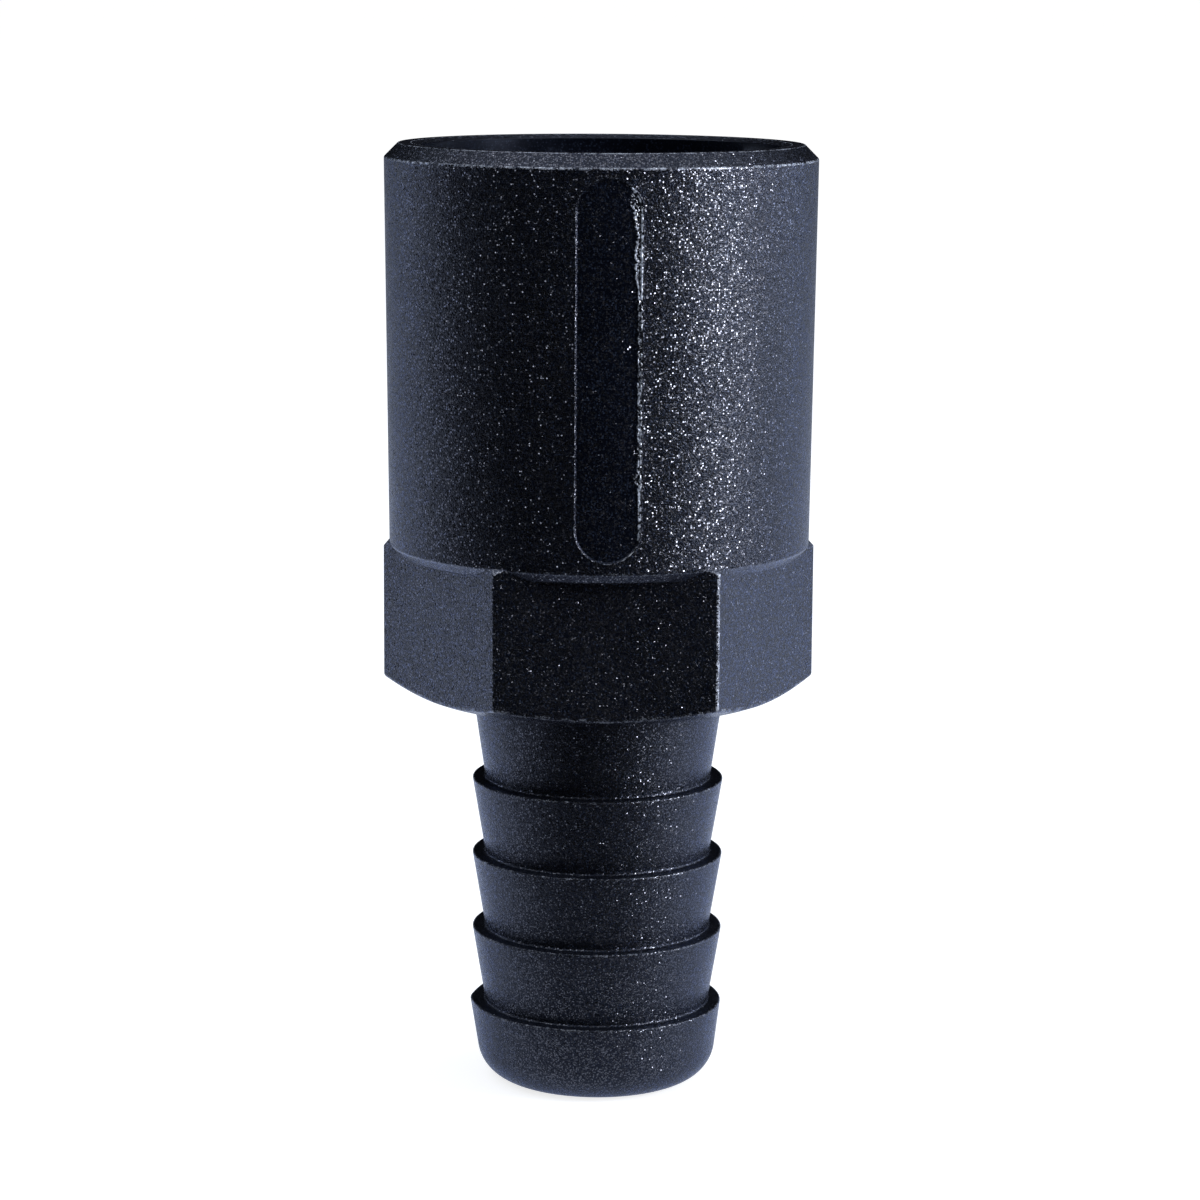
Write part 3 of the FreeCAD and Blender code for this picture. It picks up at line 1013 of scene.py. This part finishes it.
class SharedEffects:
    """Shader node groups that more than one finish uses."""

    def __init__(self) -> None:
        """Builds the groups."""
        self.grain = self.spark_grain()
        self.specks = self.glass_specks()
        self.wear_and_highlight = self.worn_and_highlit_edges()

    @staticmethod
    def group(
        name: str, inputs: dict[str, tuple[str, object]], outputs: dict[str, str],
    ) -> tuple[Nodes, object, object]:
        """Starts a group.

        Args:
            name: the group's name.
            inputs: each input's type and default value by name.
            outputs: each output's type by name.

        Returns:
            The group's nodes, its input sockets and its output node's sockets.
        """
        tree = bpy.data.node_groups.new(name, "ShaderNodeTree")
        for socket, (kind, default) in inputs.items():
            group_socket(tree, socket, kind, default)
        for socket, kind in outputs.items():
            group_socket(tree, socket, kind, output=True)
        nodes = Nodes(tree)
        return nodes, nodes.add("NodeGroupInput").outputs, nodes.add("NodeGroupOutput").inputs

    def spark_grain(self) -> bpy.types.NodeTree:
        """The fine pitted grain that a spark-eroded mould leaves.

        Returns:
            The group, which puts out the grain's height, the mask of its shiny facets, its lighter dots, all
            from 0 to 1, and the facets' normals.
        """
        nodes, given, out = self.group(
            "spark_grain",
            {"Pits per Metre": ("Float", 9500.0), "Glint Rarity": ("Float", 0.3), "Tilt": ("Float", 0.5)},
            {"Height": "Float", "Glints": "Float", "Dots": "Float", "Facets": "Vector"},
        )
        where = nodes.add("ShaderNodeTexCoord").outputs["Object"]
        cells = nodes.add("ShaderNodeTexVoronoi", {"Vector": where, "Scale": given["Pits per Metre"]})
        draw = nodes.add("ShaderNodeSeparateColor", {0: cells.outputs["Color"]})
        waves = nodes.add("ShaderNodeTexNoise", {
            "Vector": where, "Scale": nodes.math("MULTIPLY", given["Pits per Metre"], 1.5), "Detail": 1.0,
        })
        dome = nodes.math("SUBTRACT", 1.0, cells.outputs["Distance"])
        height = nodes.math("ADD", nodes.math("MULTIPLY", nodes.math("MULTIPLY", dome, draw.outputs[1]), 0.5),
                            nodes.math("MULTIPLY", waves.outputs["Fac"], 0.5))
        # Each cell holds one round dot with a soft edge.
        round_dot = nodes.add("ShaderNodeMapRange", {
            "Value": cells.outputs["Distance"], "From Min": 0.65, "From Max": 0.3,
        })
        rarity = given["Glint Rarity"]
        shiny = nodes.add("ShaderNodeMapRange", {
            "Value": draw.outputs[0], "From Min": rarity, "From Max": nodes.math("ADD", rarity, 0.2),
        })
        glint = nodes.math("MULTIPLY", shiny.outputs[0], round_dot.outputs[0])
        dot = nodes.math("MULTIPLY", nodes.math("POWER", draw.outputs[2], 3.5), round_dot.outputs[0])
        # Each cell is a flat facet, most of them nearly level and a few of them steep.
        way = nodes.add("ShaderNodeVectorMath", {
            0: cells.outputs["Color"], 1: (2.0, 2.0, 2.0), 2: (-1.0, -1.0, -1.0),
        }, operation="MULTIPLY_ADD").outputs[0]
        size = nodes.add("ShaderNodeVectorMath", {0: way}, operation="ABSOLUTE").outputs[0]
        lean = nodes.add("ShaderNodeVectorMath", {0: way, 1: size}, operation="MULTIPLY").outputs[0]
        lean = nodes.add("ShaderNodeVectorMath", {0: lean, "Scale": given["Tilt"]}, operation="SCALE").outputs[0]
        upright = nodes.add("ShaderNodeNewGeometry").outputs["Normal"]
        leaning = nodes.add("ShaderNodeVectorMath", {0: upright, 1: lean}, operation="ADD").outputs[0]
        facets = nodes.add("ShaderNodeVectorMath", {0: leaning}, operation="NORMALIZE").outputs[0]
        nodes.put(out["Facets"], facets)
        nodes.put(out["Height"], height)
        nodes.put(out["Glints"], glint)
        nodes.put(out["Dots"], dot)
        return nodes.tree

    def glass_specks(self) -> bpy.types.NodeTree:
        """Tiny pale specks of fibre and dust, scattered sparsely.

        Returns:
            The group, which puts out a mask from 0 to 1.
        """
        nodes, given, out = self.group(
            "glass_specks",
            {"Cells per Metre": ("Float", 1600.0), "Size": ("Float", 0.055), "Share": ("Float", 0.6)},
            {"Mask": "Float"},
        )
        where = nodes.add("ShaderNodeTexCoord").outputs["Object"]
        cells = nodes.add("ShaderNodeTexVoronoi", {"Vector": where, "Scale": given["Cells per Metre"]})
        near = nodes.math("LESS_THAN", cells.outputs["Distance"], given["Size"])
        draw = nodes.add("ShaderNodeSeparateColor", {0: cells.outputs["Color"]})
        kept = nodes.math("LESS_THAN", draw.outputs[0], given["Share"])
        strength = nodes.math("MULTIPLY", nodes.math("MULTIPLY", near, kept), draw.outputs[1])
        nodes.put(out["Mask"], strength)
        return nodes.tree

    def worn_and_highlit_edges(self) -> bpy.types.NodeTree:
        """Broken, paler lines along the edges that the mesh marks: partly real wear, partly a painted highlight.

        Returns:
            The group, which puts out a mask from 0 to 1.
        """
        nodes, given, out = self.group(
            "worn_and_highlit_edges", {"Amount": ("Float", 0.5), "Breaks per Metre": ("Float", 2600.0)}, {"Mask": "Float"},
        )
        marked = nodes.add("ShaderNodeAttribute", attribute_name=Attribute.WEAR_AND_HIGHLIGHT.value).outputs["Fac"]
        where = nodes.add("ShaderNodeTexCoord").outputs["Object"]
        breaks = nodes.add("ShaderNodeTexNoise", {
            "Vector": where, "Scale": given["Breaks per Metre"], "Detail": 3.0, "Roughness": 0.7,
        })
        # The more an edge is marked, by wear and by painted highlight, the less its pale line is broken.
        least = nodes.math("SUBTRACT", 0.57, nodes.math("MULTIPLY", marked, 0.3))
        broken = nodes.add("ShaderNodeMapRange", {
            "Value": breaks.outputs["Fac"], "From Min": least, "From Max": nodes.math("ADD", least, 0.2),
        })
        share = nodes.math("MINIMUM", nodes.math("MULTIPLY", marked, 1.5), 1.0)
        mask = nodes.math("MULTIPLY", nodes.math("MULTIPLY", share, broken.outputs[0]), given["Amount"])
        nodes.put(out["Mask"], mask)
        return nodes.tree


@dataclass(frozen=True)
class PlasticFinish:
    """One finish of the black glass-filled nylon.

    A higher glint rarity leaves fewer of the grain's facets shiny, and facet_tilt is the most that they lean.
    grain_depth is in metres.
    """

    name: str
    base_color: tuple[float, float, float] = (0.0016, 0.0021, 0.0042)
    dot_color: tuple[float, float, float] = (0.018, 0.023, 0.037)
    pale_color: tuple[float, float, float] = (0.58, 0.61, 0.68)
    specular_tint: tuple[float, float, float] = (0.66, 0.74, 1.0)
    specular_level: float = 0.28
    roughness: float = 0.22
    roughness_spread: float = 0.08
    index: float = 1.53
    coat_roughness: float = 0.2
    coat_index: float = 2.2
    facet_color: tuple[float, float, float] = (0.16, 0.158, 0.17)
    glint_rarity: float = 0.3
    facet_tilt: float = 0.53
    self_shading: float = 0.9
    grain_per_metre: float = 9500.0
    grain_depth: float = 0.00007
    speck_share: float = 0.6
    wear_and_highlight_amount: float = 0.7

    def make(self, shared: SharedEffects) -> bpy.types.Material:
        """Builds the material.

        Args:
            shared: the groups that the finishes share.

        Returns:
            The material.
        """
        material = bpy.data.materials.new(self.name)
        material.use_nodes = True
        nodes = Nodes(material.node_tree)
        where = nodes.add("ShaderNodeTexCoord").outputs["Object"]
        grain = nodes.add("ShaderNodeGroup", {}, node_tree=shared.grain)
        grain.inputs["Pits per Metre"].default_value = self.grain_per_metre
        grain.inputs["Glint Rarity"].default_value = self.glint_rarity
        grain.inputs["Tilt"].default_value = self.facet_tilt
        specks = nodes.add("ShaderNodeGroup", {}, node_tree=shared.specks)
        specks.inputs["Share"].default_value = self.speck_share
        wear_and_highlight = nodes.add("ShaderNodeGroup", {}, node_tree=shared.wear_and_highlight)
        wear_and_highlight.inputs["Amount"].default_value = self.wear_and_highlight_amount
        torn = nodes.add("ShaderNodeAttribute", attribute_name=Attribute.SMEAR.value).outputs["Fac"]

        mottle = nodes.add("ShaderNodeTexNoise", {"Vector": where, "Scale": 330.0, "Detail": 3.0, "Roughness": 0.6})
        tone = nodes.add("ShaderNodeMix", {
            0: mottle.outputs["Fac"],
            6: (*(value * 0.7 for value in self.base_color), 1.0),
            7: (*(value * 1.3 for value in self.base_color), 1.0),
        }, data_type="RGBA")
        dotted = nodes.add("ShaderNodeMix", {
            0: grain.outputs["Dots"], 6: tone.outputs[2], 7: (*self.dot_color, 1.0),
        }, data_type="RGBA")
        # Pale colour: the edge mark is partly wear and partly a painted highlight; the specks are fibre and dust.
        pale = nodes.math("MINIMUM", nodes.math("ADD", wear_and_highlight.outputs[0], specks.outputs[0]), 1.0)
        color = nodes.add("ShaderNodeMix", {
            0: pale, 6: dotted.outputs[2], 7: (*self.pale_color, 1.0),
        }, data_type="RGBA")
        rough = nodes.add("ShaderNodeMapRange", {
            "Value": mottle.outputs["Fac"], "From Min": 0.3, "From Max": 0.7,
            "To Min": self.roughness - self.roughness_spread / 2, "To Max": self.roughness + self.roughness_spread / 2,
        })
        rough = nodes.math("MULTIPLY", rough.outputs[0], nodes.math("SUBTRACT", 1.0, nodes.math("MULTIPLY", torn, 0.5)))
        # The grain shades itself where it is seen along the surface.
        facing = nodes.add("ShaderNodeLayerWeight", {"Blend": 0.5}).outputs["Facing"]
        shade = nodes.math("MULTIPLY", nodes.math("POWER", facing, 3.0), self.self_shading)
        open_grain = nodes.math("SUBTRACT", 1.0, shade)
        glints = nodes.math("MULTIPLY", grain.outputs["Glints"], open_grain)
        color = nodes.add("ShaderNodeMix", {
            0: glints, 6: color.outputs[2], 7: (*self.facet_color, 1.0),
        }, data_type="RGBA")
        # A facet's soft edge is already fully shiny, so that its pale colour never shows as matt.
        shiny = nodes.math("MINIMUM", nodes.math("MULTIPLY", glints, 3.0), 1.0)
        bump = nodes.add("ShaderNodeBump", {
            "Strength": 1.0, "Distance": self.grain_depth, "Height": grain.outputs["Height"],
        })
        normal = nodes.add("ShaderNodeMix", {
            0: grain.outputs["Glints"], 4: bump.outputs[0], 5: grain.outputs["Facets"],
        }, data_type="VECTOR")
        normal = nodes.add("ShaderNodeVectorMath", {0: normal.outputs[1]}, operation="NORMALIZE")
        surface = nodes.add("ShaderNodeBsdfPrincipled", {
            "Base Color": color.outputs[2], "Metallic": shiny, "Roughness": rough, "Normal": normal.outputs[0],
            "Specular IOR Level": nodes.math("MULTIPLY", open_grain, self.specular_level),
            "Specular Tint": (*self.specular_tint, 1.0), "IOR": self.index,
            "Coat Weight": nodes.math("MAXIMUM", torn, wear_and_highlight.outputs[0]),
            "Coat Roughness": self.coat_roughness, "Coat IOR": self.coat_index,
        })
        nodes.add("ShaderNodeOutputMaterial", {"Surface": surface.outputs[0]})
        return material


# ---------------------------------------------------------------------------------------------
# The moulding


@dataclass(frozen=True)
class Flaw:
    """A low bump that the mould left on the outside, such as the flash of its parting line."""

    radius: float
    azimuth: float
    foot: float
    top: float
    rise: float
    spread: float

    def raise_on(self, shape: bmesh.types.BMesh) -> None:
        """Moves the points near the bump outwards.

        Args:
            shape: the moulding's mesh.
        """
        middle = math.radians(self.azimuth)
        for vert in shape.verts:
            reach, height = vert.co.xy.length / MM, vert.co.z / MM
            if not self.foot < height < self.top or abs(reach - self.radius) > 0.6:
                continue
            away = math.remainder(math.atan2(vert.co.x, -vert.co.y) - middle, math.tau) * reach
            swell = eased(height, self.foot, self.foot + 0.4 * (self.top - self.foot))
            share = math.exp(-((away / self.spread) ** 2)) * swell
            if share > 0.01:
                vert.co.xy *= 1 + self.rise * share / reach


@dataclass
class AdapterMoulding:
    """The whole adapter as one moulded piece."""

    section: Section = field(default_factory=Section)
    name: str = "adapter_moulding"
    node: str = "adapter_body"
    highlight_corner: float = 30.0
    highlight_width: float = 0.09
    sharp_from: float = 38.0
    flaws: tuple[Flaw, ...] = (
        Flaw(radius=7.3, azimuth=-92.0, foot=2.2, top=4.72, rise=0.13, spread=1.0),
        Flaw(radius=11.85, azimuth=-74.0, foot=55.5, top=55.8, rise=0.16, spread=0.22),
    )

    def column_angles(self) -> list[float]:
        """Angles of the columns of half a sector, from a corner to the middle of a flat.

        Returns:
            The angles from the corner, in radians.
        """
        mesh = self.section.mesh
        even = [math.pi / 6 * step / mesh.half_sector_columns for step in range(mesh.half_sector_columns + 1)]
        return [angle - math.sin(6 * angle) * mesh.crowding / 6 for angle in even]

    def section_table(self) -> tuple[bpy.types.Object, int]:
        """The sections of half a sector as loose points, which the tree reads.

        Returns:
            The object, and how many rings a section has.
        """
        sections = [self.section.rings(self.section.hexagon.reach(angle)) for angle in self.column_angles()]
        rings = [ring for section in sections for ring in section]
        mesh = bpy.data.meshes.new("section_table")
        mesh.from_pydata([(ring.radius * MM, 0.0, ring.height * MM) for ring in rings], [], [])
        values = {
            Attribute.WEAR_AND_HIGHLIGHT.value: [ring.wear_and_highlight for ring in rings],
            Attribute.CORED.value: [ring.cored for ring in rings],
            Attribute.CLIMBS.value: [ring.thread for ring in rings],
        }
        for name, numbers in values.items():
            mesh.attributes.new(name, "FLOAT", "POINT").data.foreach_set("value", numbers)
        table = bpy.data.objects.new("section_table", mesh)
        bpy.context.scene.collection.objects.link(table)
        return table, len(sections[0])

    def turned(self, finishes: dict[Finish, bpy.types.Material]) -> bpy.types.Mesh:
        """Runs the tree on the table of sections.

        Args:
            finishes: the material of each finish.

        Returns:
            The turned moulding as a plain mesh.
        """
        table, rings = self.section_table()
        modifier = table.modifiers.new("turning", "NODES")
        modifier.node_group = TurningTree().tree
        socket, mesh = self.section.socket, self.section.mesh
        set_modifier_inputs(modifier, {
            "Rings": rings,
            "Half Sector Columns": mesh.half_sector_columns,
            "Corner Crowding": mesh.crowding,
            "Thread Pitch": socket.thread_pitch * MM,
            "Thread Major Radius": socket.thread_major_radius * MM,
            "Thread Minor Radius": socket.thread_minor_radius * MM,
            "Thread Foot": self.section.thread_foot * MM,
            "Thread Top": self.section.thread_top * MM,
            "Lead-in Foot": self.section.lead_in_foot * MM,
            "Weld Distance": WELD,
            "Outside Finish": finishes[Finish.GRAINED],
            "Cored Finish": finishes[Finish.CORED],
        })
        bpy.context.view_layer.update()
        evaluated = table.evaluated_get(bpy.context.evaluated_depsgraph_get())
        shape = bpy.data.meshes.new_from_object(evaluated)
        table.modifiers.remove(modifier)
        bpy.data.objects.remove(table)
        return shape

    def paint_corner_highlight(self, shape: bmesh.types.BMesh) -> None:
        """Paints a highlight along the hexagon's right front corner, as a pale mark among the edge marks.

        Args:
            shape: the moulding's mesh.
        """
        worn_and_highlit = shape.verts.layers.float[Attribute.WEAR_AND_HIGHLIGHT.value]
        section = self.section
        corner = section.hexagon.reach(0.0)
        for vert in shape.verts:
            turn = math.atan2(vert.co.x, -vert.co.y) - math.radians(self.highlight_corner)
            on_corner = abs(turn) * corner < self.highlight_width and vert.co.xy.length > (corner - 0.05) * MM
            if on_corner and section.tail.top * MM < vert.co.z < (section.hexagon_top + 0.05) * MM:
                vert[worn_and_highlit] = section.wear_and_highlight.right_front_corner_highlight

    def window_columns(self) -> list[float]:
        """Angles from the front of the columns across the panel's window, from left to right.

        Returns:
            The angles in radians.
        """
        half = self.section.mesh.window_half_columns
        quarter = self.column_angles()[-1 - half:]
        right = [math.pi / 6 - angle for angle in reversed(quarter)]
        return [-angle for angle in reversed(right[1:])] + right

    def open_window(self, shape: bmesh.types.BMesh) -> None:
        """Takes out the part of the wall that the panel's own mesh fills.

        Args:
            shape: the moulding's mesh.
        """
        low, high = self.section.window
        side = math.sin(self.window_columns()[-1]) * self.section.wall(high) * MM
        behind = []
        for face in shape.faces:
            centre = face.calc_center_median()
            on_front = centre.y < -self.section.socket.mouth_radius * MM and abs(centre.x) < side
            if on_front and low * MM < centre.z < high * MM:
                behind.append(face)
        bmesh.ops.delete(shape, geom=behind, context="FACES")

    def smooth(self, shape: bmesh.types.BMesh) -> None:
        """Closes the mesh, turns its faces outwards and keeps only real edges sharp.

        Args:
            shape: the mesh.
        """
        bmesh.ops.remove_doubles(shape, verts=shape.verts, dist=WELD)
        bmesh.ops.recalc_face_normals(shape, faces=shape.faces)
        limit = math.radians(self.sharp_from)
        for face in shape.faces:
            face.smooth = True
        for edge in shape.edges:
            edge.smooth = len(edge.link_faces) == 2 and edge.calc_face_angle(0.0) < limit

    def build(self, finishes: dict[Finish, bpy.types.Material]) -> bpy.types.Object:
        """Builds the moulding and puts it on the frame.

        Args:
            finishes: the material of each finish.

        Returns:
            The object.
        """
        data = self.turned(finishes)
        data.name = self.name
        data.materials.clear()
        for finish in Finish:
            data.materials.append(finishes[finish])
        shape = bmesh.new()
        shape.from_mesh(data)
        cored = shape.verts.layers.float[Attribute.CORED.value]
        for face in shape.faces:
            inside = sum(vert[cored] for vert in face.verts) / len(face.verts) > 0.5
            height = face.calc_center_median().z / MM
            outside = Finish.TAIL if height < self.section.tail.top else Finish.GRAINED
            # The lip's band takes the brighter lip finish, in part a painted highlight.
            if self.section.lip - 0.1 < height < self.section.wall_foot + 0.1 and abs(face.normal.z) > 0.25:
                outside = Finish.LIP_HIGHLIGHT
            face.material_index = (Finish.CORED if inside else outside).value
        self.open_window(shape)
        PanelPatch(self.section, self.window_columns()).build(shape)
        self.paint_corner_highlight(shape)
        for flaw in self.flaws:
            flaw.raise_on(shape)
        self.smooth(shape)
        open_edges = sum(1 for edge in shape.edges if len(edge.link_faces) != 2)
        LOG.info("%s: %d faces, %d open edges, volume %.1f mm3", self.name, len(shape.faces), open_edges,
                 shape.calc_volume() / MM**3)
        shape.to_mesh(data)
        shape.free()
        piece = bpy.data.objects.new(self.name, data)
        bpy.context.scene.collection.objects.link(piece)
        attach(piece, "root")
        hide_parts(self.node)
        return piece


# ---------------------------------------------------------------------------------------------
# The studio


@dataclass(frozen=True)
class Softbox:
    """A soft rectangular lamp that looks at the object."""

    name: str
    azimuth: float
    elevation: float
    distance: float
    width: float
    height: float
    brightness: float
    tint: tuple[float, float, float] = (1.0, 1.0, 1.0)

    def place(self, target: Vector) -> bpy.types.Object:
        """Adds the lamp.

        Args:
            target: the point that it looks at.

        Returns:
            The lamp.
        """
        light = bpy.data.lights.new(self.name, "AREA")
        light.shape = "RECTANGLE"
        light.size, light.size_y = self.width, self.height
        light.energy = self.brightness * math.pi * self.width * self.height
        light.color = self.tint
        lamp = bpy.data.objects.new(self.name, light)
        way = view_direction(self.azimuth, self.elevation)
        lamp.location = target + way * self.distance
        lamp.rotation_euler = way.to_track_quat("Z", "Y").to_euler()
        bpy.context.scene.collection.objects.link(lamp)
        return lamp


def view_direction(azimuth: float, elevation: float) -> Vector:
    """Direction from the object to something that stands round it.

    Args:
        azimuth: degrees from the front, towards the right.
        elevation: degrees above the level.

    Returns:
        The unit direction.
    """
    turn, rise = math.radians(azimuth), math.radians(elevation)
    return Vector((math.sin(turn) * math.cos(rise), -math.cos(turn) * math.cos(rise), math.sin(rise)))


@dataclass(frozen=True)
class Studio:
    """The camera, the lamps, the pale floor and the background, with all lengths in metres."""

    target: Vector = field(default_factory=lambda: Vector((0.0, 0.0, 0.02878)))
    azimuth: float = -2.2
    elevation: float = 9.811
    distance: float = 0.21816
    roll: float = 0.3575
    lens: float = 110.75
    shift: Pair = (1.29 / 1200, 1.72 / 1200)
    floor_radius: float = 12.0
    floor_albedo: float = 0.45
    floor_glow: float = 0.8
    ambient: float = 0.006
    glow_reach: Pair = (0.1, 1.4)
    reflected_glow: tuple[float, float, float] = (0.45, 0.52, 0.7)
    reflected_reach: Pair = (0.08, 0.3)
    reflected_share: Pair = (1.25, 0.4)
    reflection_glow_side: Pair = (-0.024, -0.006)
    lamps: tuple[Softbox, ...] = (
        Softbox("softbox_right", 69.0, 8.0, 0.6, 0.17, 0.6, 22.0, (0.84, 0.89, 1.0)),
        Softbox("softbox_back_right", 118.0, 6.0, 0.6, 0.2, 0.5, 4.0, (0.74, 0.83, 1.0)),
        Softbox("softbox_left", -122.0, 8.0, 0.6, 0.22, 0.5, 2.2, (0.70, 0.80, 1.0)),
        Softbox("softbox_top", 0.0, 86.0, 0.7, 1.5, 1.5, 1.1, (0.78, 0.86, 1.0)),
        Softbox("softbox_upper_left", -42.0, 46.0, 0.6, 0.3, 0.25, 2.5, (0.80, 0.88, 1.0)),
    )

    def add_camera(self) -> None:
        """The camera at the photograph's place, turned slightly about its line of sight."""
        camera = bpy.data.objects.new("camera", bpy.data.cameras.new("camera"))
        camera.data.lens = self.lens
        camera.data.sensor_width = 36.0
        camera.data.sensor_fit = "HORIZONTAL"
        camera.data.shift_x, camera.data.shift_y = self.shift
        camera.data.clip_start, camera.data.clip_end = 0.01, 40.0
        way = view_direction(self.azimuth, self.elevation)
        aim = way.to_track_quat("Z", "Y").to_matrix().to_4x4()
        camera.matrix_world = Matrix.Translation(self.target + way * self.distance) @ aim @ Matrix.Rotation(
            math.radians(self.roll), 4, "Z")
        bpy.context.scene.collection.objects.link(camera)
        bpy.context.scene.camera = camera

    def add_floor(self) -> None:
        """A wide pale floor that keeps the object's shadow and shows white where nothing shades it."""
        shape = bmesh.new()
        bmesh.ops.create_circle(shape, cap_ends=True, segments=96, radius=self.floor_radius)
        mesh = bpy.data.meshes.new("floor")
        shape.to_mesh(mesh)
        shape.free()
        floor = bpy.data.objects.new("floor", mesh)
        bpy.context.scene.collection.objects.link(floor)
        material = bpy.data.materials.new("pale_floor")
        material.use_nodes = True
        nodes = Nodes(material.node_tree)
        where = nodes.add("ShaderNodeTexCoord").outputs["Object"]
        place = nodes.add("ShaderNodeSeparateXYZ", {0: where})
        reach = nodes.add("ShaderNodeVectorMath", {0: where}, operation="LENGTH")
        # The lamps light the floor near the object, and the white glow takes over farther out.
        glow = nodes.add("ShaderNodeMapRange", {
            "Value": reach.outputs["Value"], "From Min": self.glow_reach[0], "From Max": self.glow_reach[1],
            "To Min": self.floor_glow, "To Max": 1.0,
        }, interpolation_type="SMOOTHSTEP")
        # Painted reflection: reflections see the floor's glow only behind the object; on the camera's side the floor is
        # dark to them, though the camera sees it white.
        reflection_glow_side = nodes.add("ShaderNodeMapRange", {
            "Value": place.outputs["Y"], "From Min": self.reflection_glow_side[0], "From Max": self.reflection_glow_side[1],
        })
        path = nodes.add("ShaderNodeLightPath")
        glossy = nodes.math("MULTIPLY", path.outputs["Is Glossy Ray"], reflection_glow_side.outputs[0])
        seen = nodes.math("MAXIMUM", nodes.math("MAXIMUM", path.outputs["Is Camera Ray"], glossy),
                          path.outputs["Is Transmission Ray"])
        # Painted reflection: reflections show the glow bluer, and brighter near the object than farther out.
        near = nodes.add("ShaderNodeMapRange", {
            "Value": reach.outputs["Value"],
            "From Min": self.reflected_reach[0], "From Max": self.reflected_reach[1],
            "To Min": self.reflected_share[0], "To Max": self.reflected_share[1],
        })
        reflected = nodes.add("ShaderNodeVectorMath", {
            0: self.reflected_glow, "Scale": near.outputs[0],
        }, operation="SCALE")
        hue = nodes.add("ShaderNodeMix", {
            0: path.outputs["Is Glossy Ray"], 6: (1.0, 1.0, 1.0, 1.0), 7: reflected.outputs[0],
        }, data_type="RGBA")
        # Painted shade in reflections: on the camera's side the floor's colour is darker to reflected rays.
        unlit = nodes.math("MULTIPLY", path.outputs["Is Glossy Ray"], nodes.math("SUBTRACT", 1.0, reflection_glow_side.outputs[0]))
        albedo = nodes.math("MULTIPLY", nodes.math("SUBTRACT", 1.0, unlit), self.floor_albedo)
        surface = nodes.add("ShaderNodeBsdfPrincipled", {
            "Base Color": nodes.add("ShaderNodeCombineColor", {0: albedo, 1: albedo, 2: albedo}).outputs[0],
            "Roughness": 0.9, "Specular IOR Level": 0.1,
            "Emission Color": hue.outputs[2], "Emission Strength": nodes.math("MULTIPLY", seen, glow.outputs[0]),
        })
        nodes.add("ShaderNodeOutputMaterial", {"Surface": surface.outputs[0]})
        mesh.materials.append(material)

    def add_background(self) -> None:
        """White where the camera looks past the floor, and a dim even room for the rest."""
        world = bpy.data.worlds.new("studio")
        world.use_nodes = True
        nodes = Nodes(world.node_tree)
        path = nodes.add("ShaderNodeLightPath")
        seen = nodes.math("MAXIMUM", path.outputs["Is Camera Ray"], path.outputs["Is Transmission Ray"])
        room = nodes.add("ShaderNodeBackground", {"Color": (1.0, 1.0, 1.0, 1.0), "Strength": self.ambient})
        white = nodes.add("ShaderNodeBackground", {"Color": (1.0, 1.0, 1.0, 1.0), "Strength": 1.0})
        mix = nodes.add("ShaderNodeMixShader", {0: seen, 1: room.outputs[0], 2: white.outputs[0]})
        nodes.add("ShaderNodeOutputWorld", {"Surface": mix.outputs[0]})
        bpy.context.scene.world = world

    def build(self) -> None:
        """Adds everything round the object."""
        self.add_camera()
        self.add_floor()
        self.add_background()
        for lamp in self.lamps:
            lamp.place(self.target)
        bpy.context.scene.view_settings.view_transform = "Standard"


# ---------------------------------------------------------------------------------------------
# The whole scene


def adapter_finishes() -> dict[Finish, bpy.types.Material]:
    """Builds the moulding's finishes with the groups that they share.

    Returns:
        The material of each finish.
    """
    plastics = {
        Finish.GRAINED: PlasticFinish("grained_plastic"),
        Finish.PANEL: PlasticFinish(
            "panel_plastic", specular_level=0.2, grain_depth=0.00004, glint_rarity=0.7, facet_tilt=0.4,
            speck_share=0.3, wear_and_highlight_amount=1.0,
        ),
        Finish.CORED: PlasticFinish(
            "cored_plastic", specular_level=0.16, roughness=0.3, grain_depth=0.000008, glint_rarity=1.0,
        ),
        Finish.TAIL: PlasticFinish(
            "tail_plastic", grain_depth=0.000075, grain_per_metre=11000.0, facet_color=(0.12, 0.12, 0.13),
            glint_rarity=0.25, facet_tilt=0.48,
        ),
        # Brighter reflectance on the lip's band: partly a smoother edge, partly a painted highlight.
        Finish.LIP_HIGHLIGHT: PlasticFinish(
            "lip_highlight_plastic", grain_depth=0.00004, specular_level=1.0, facet_color=(0.3, 0.3, 0.32), facet_tilt=0.25,
        ),
    }
    shared = SharedEffects()
    return {finish: plastic.make(shared) for finish, plastic in plastics.items()}


def main() -> None:
    """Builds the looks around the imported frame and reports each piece."""
    logging.basicConfig(level=logging.INFO, format="%(name)s: %(message)s")
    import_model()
    Studio().build()
    AdapterMoulding().build(adapter_finishes())


if __name__ == "__main__":
    main()
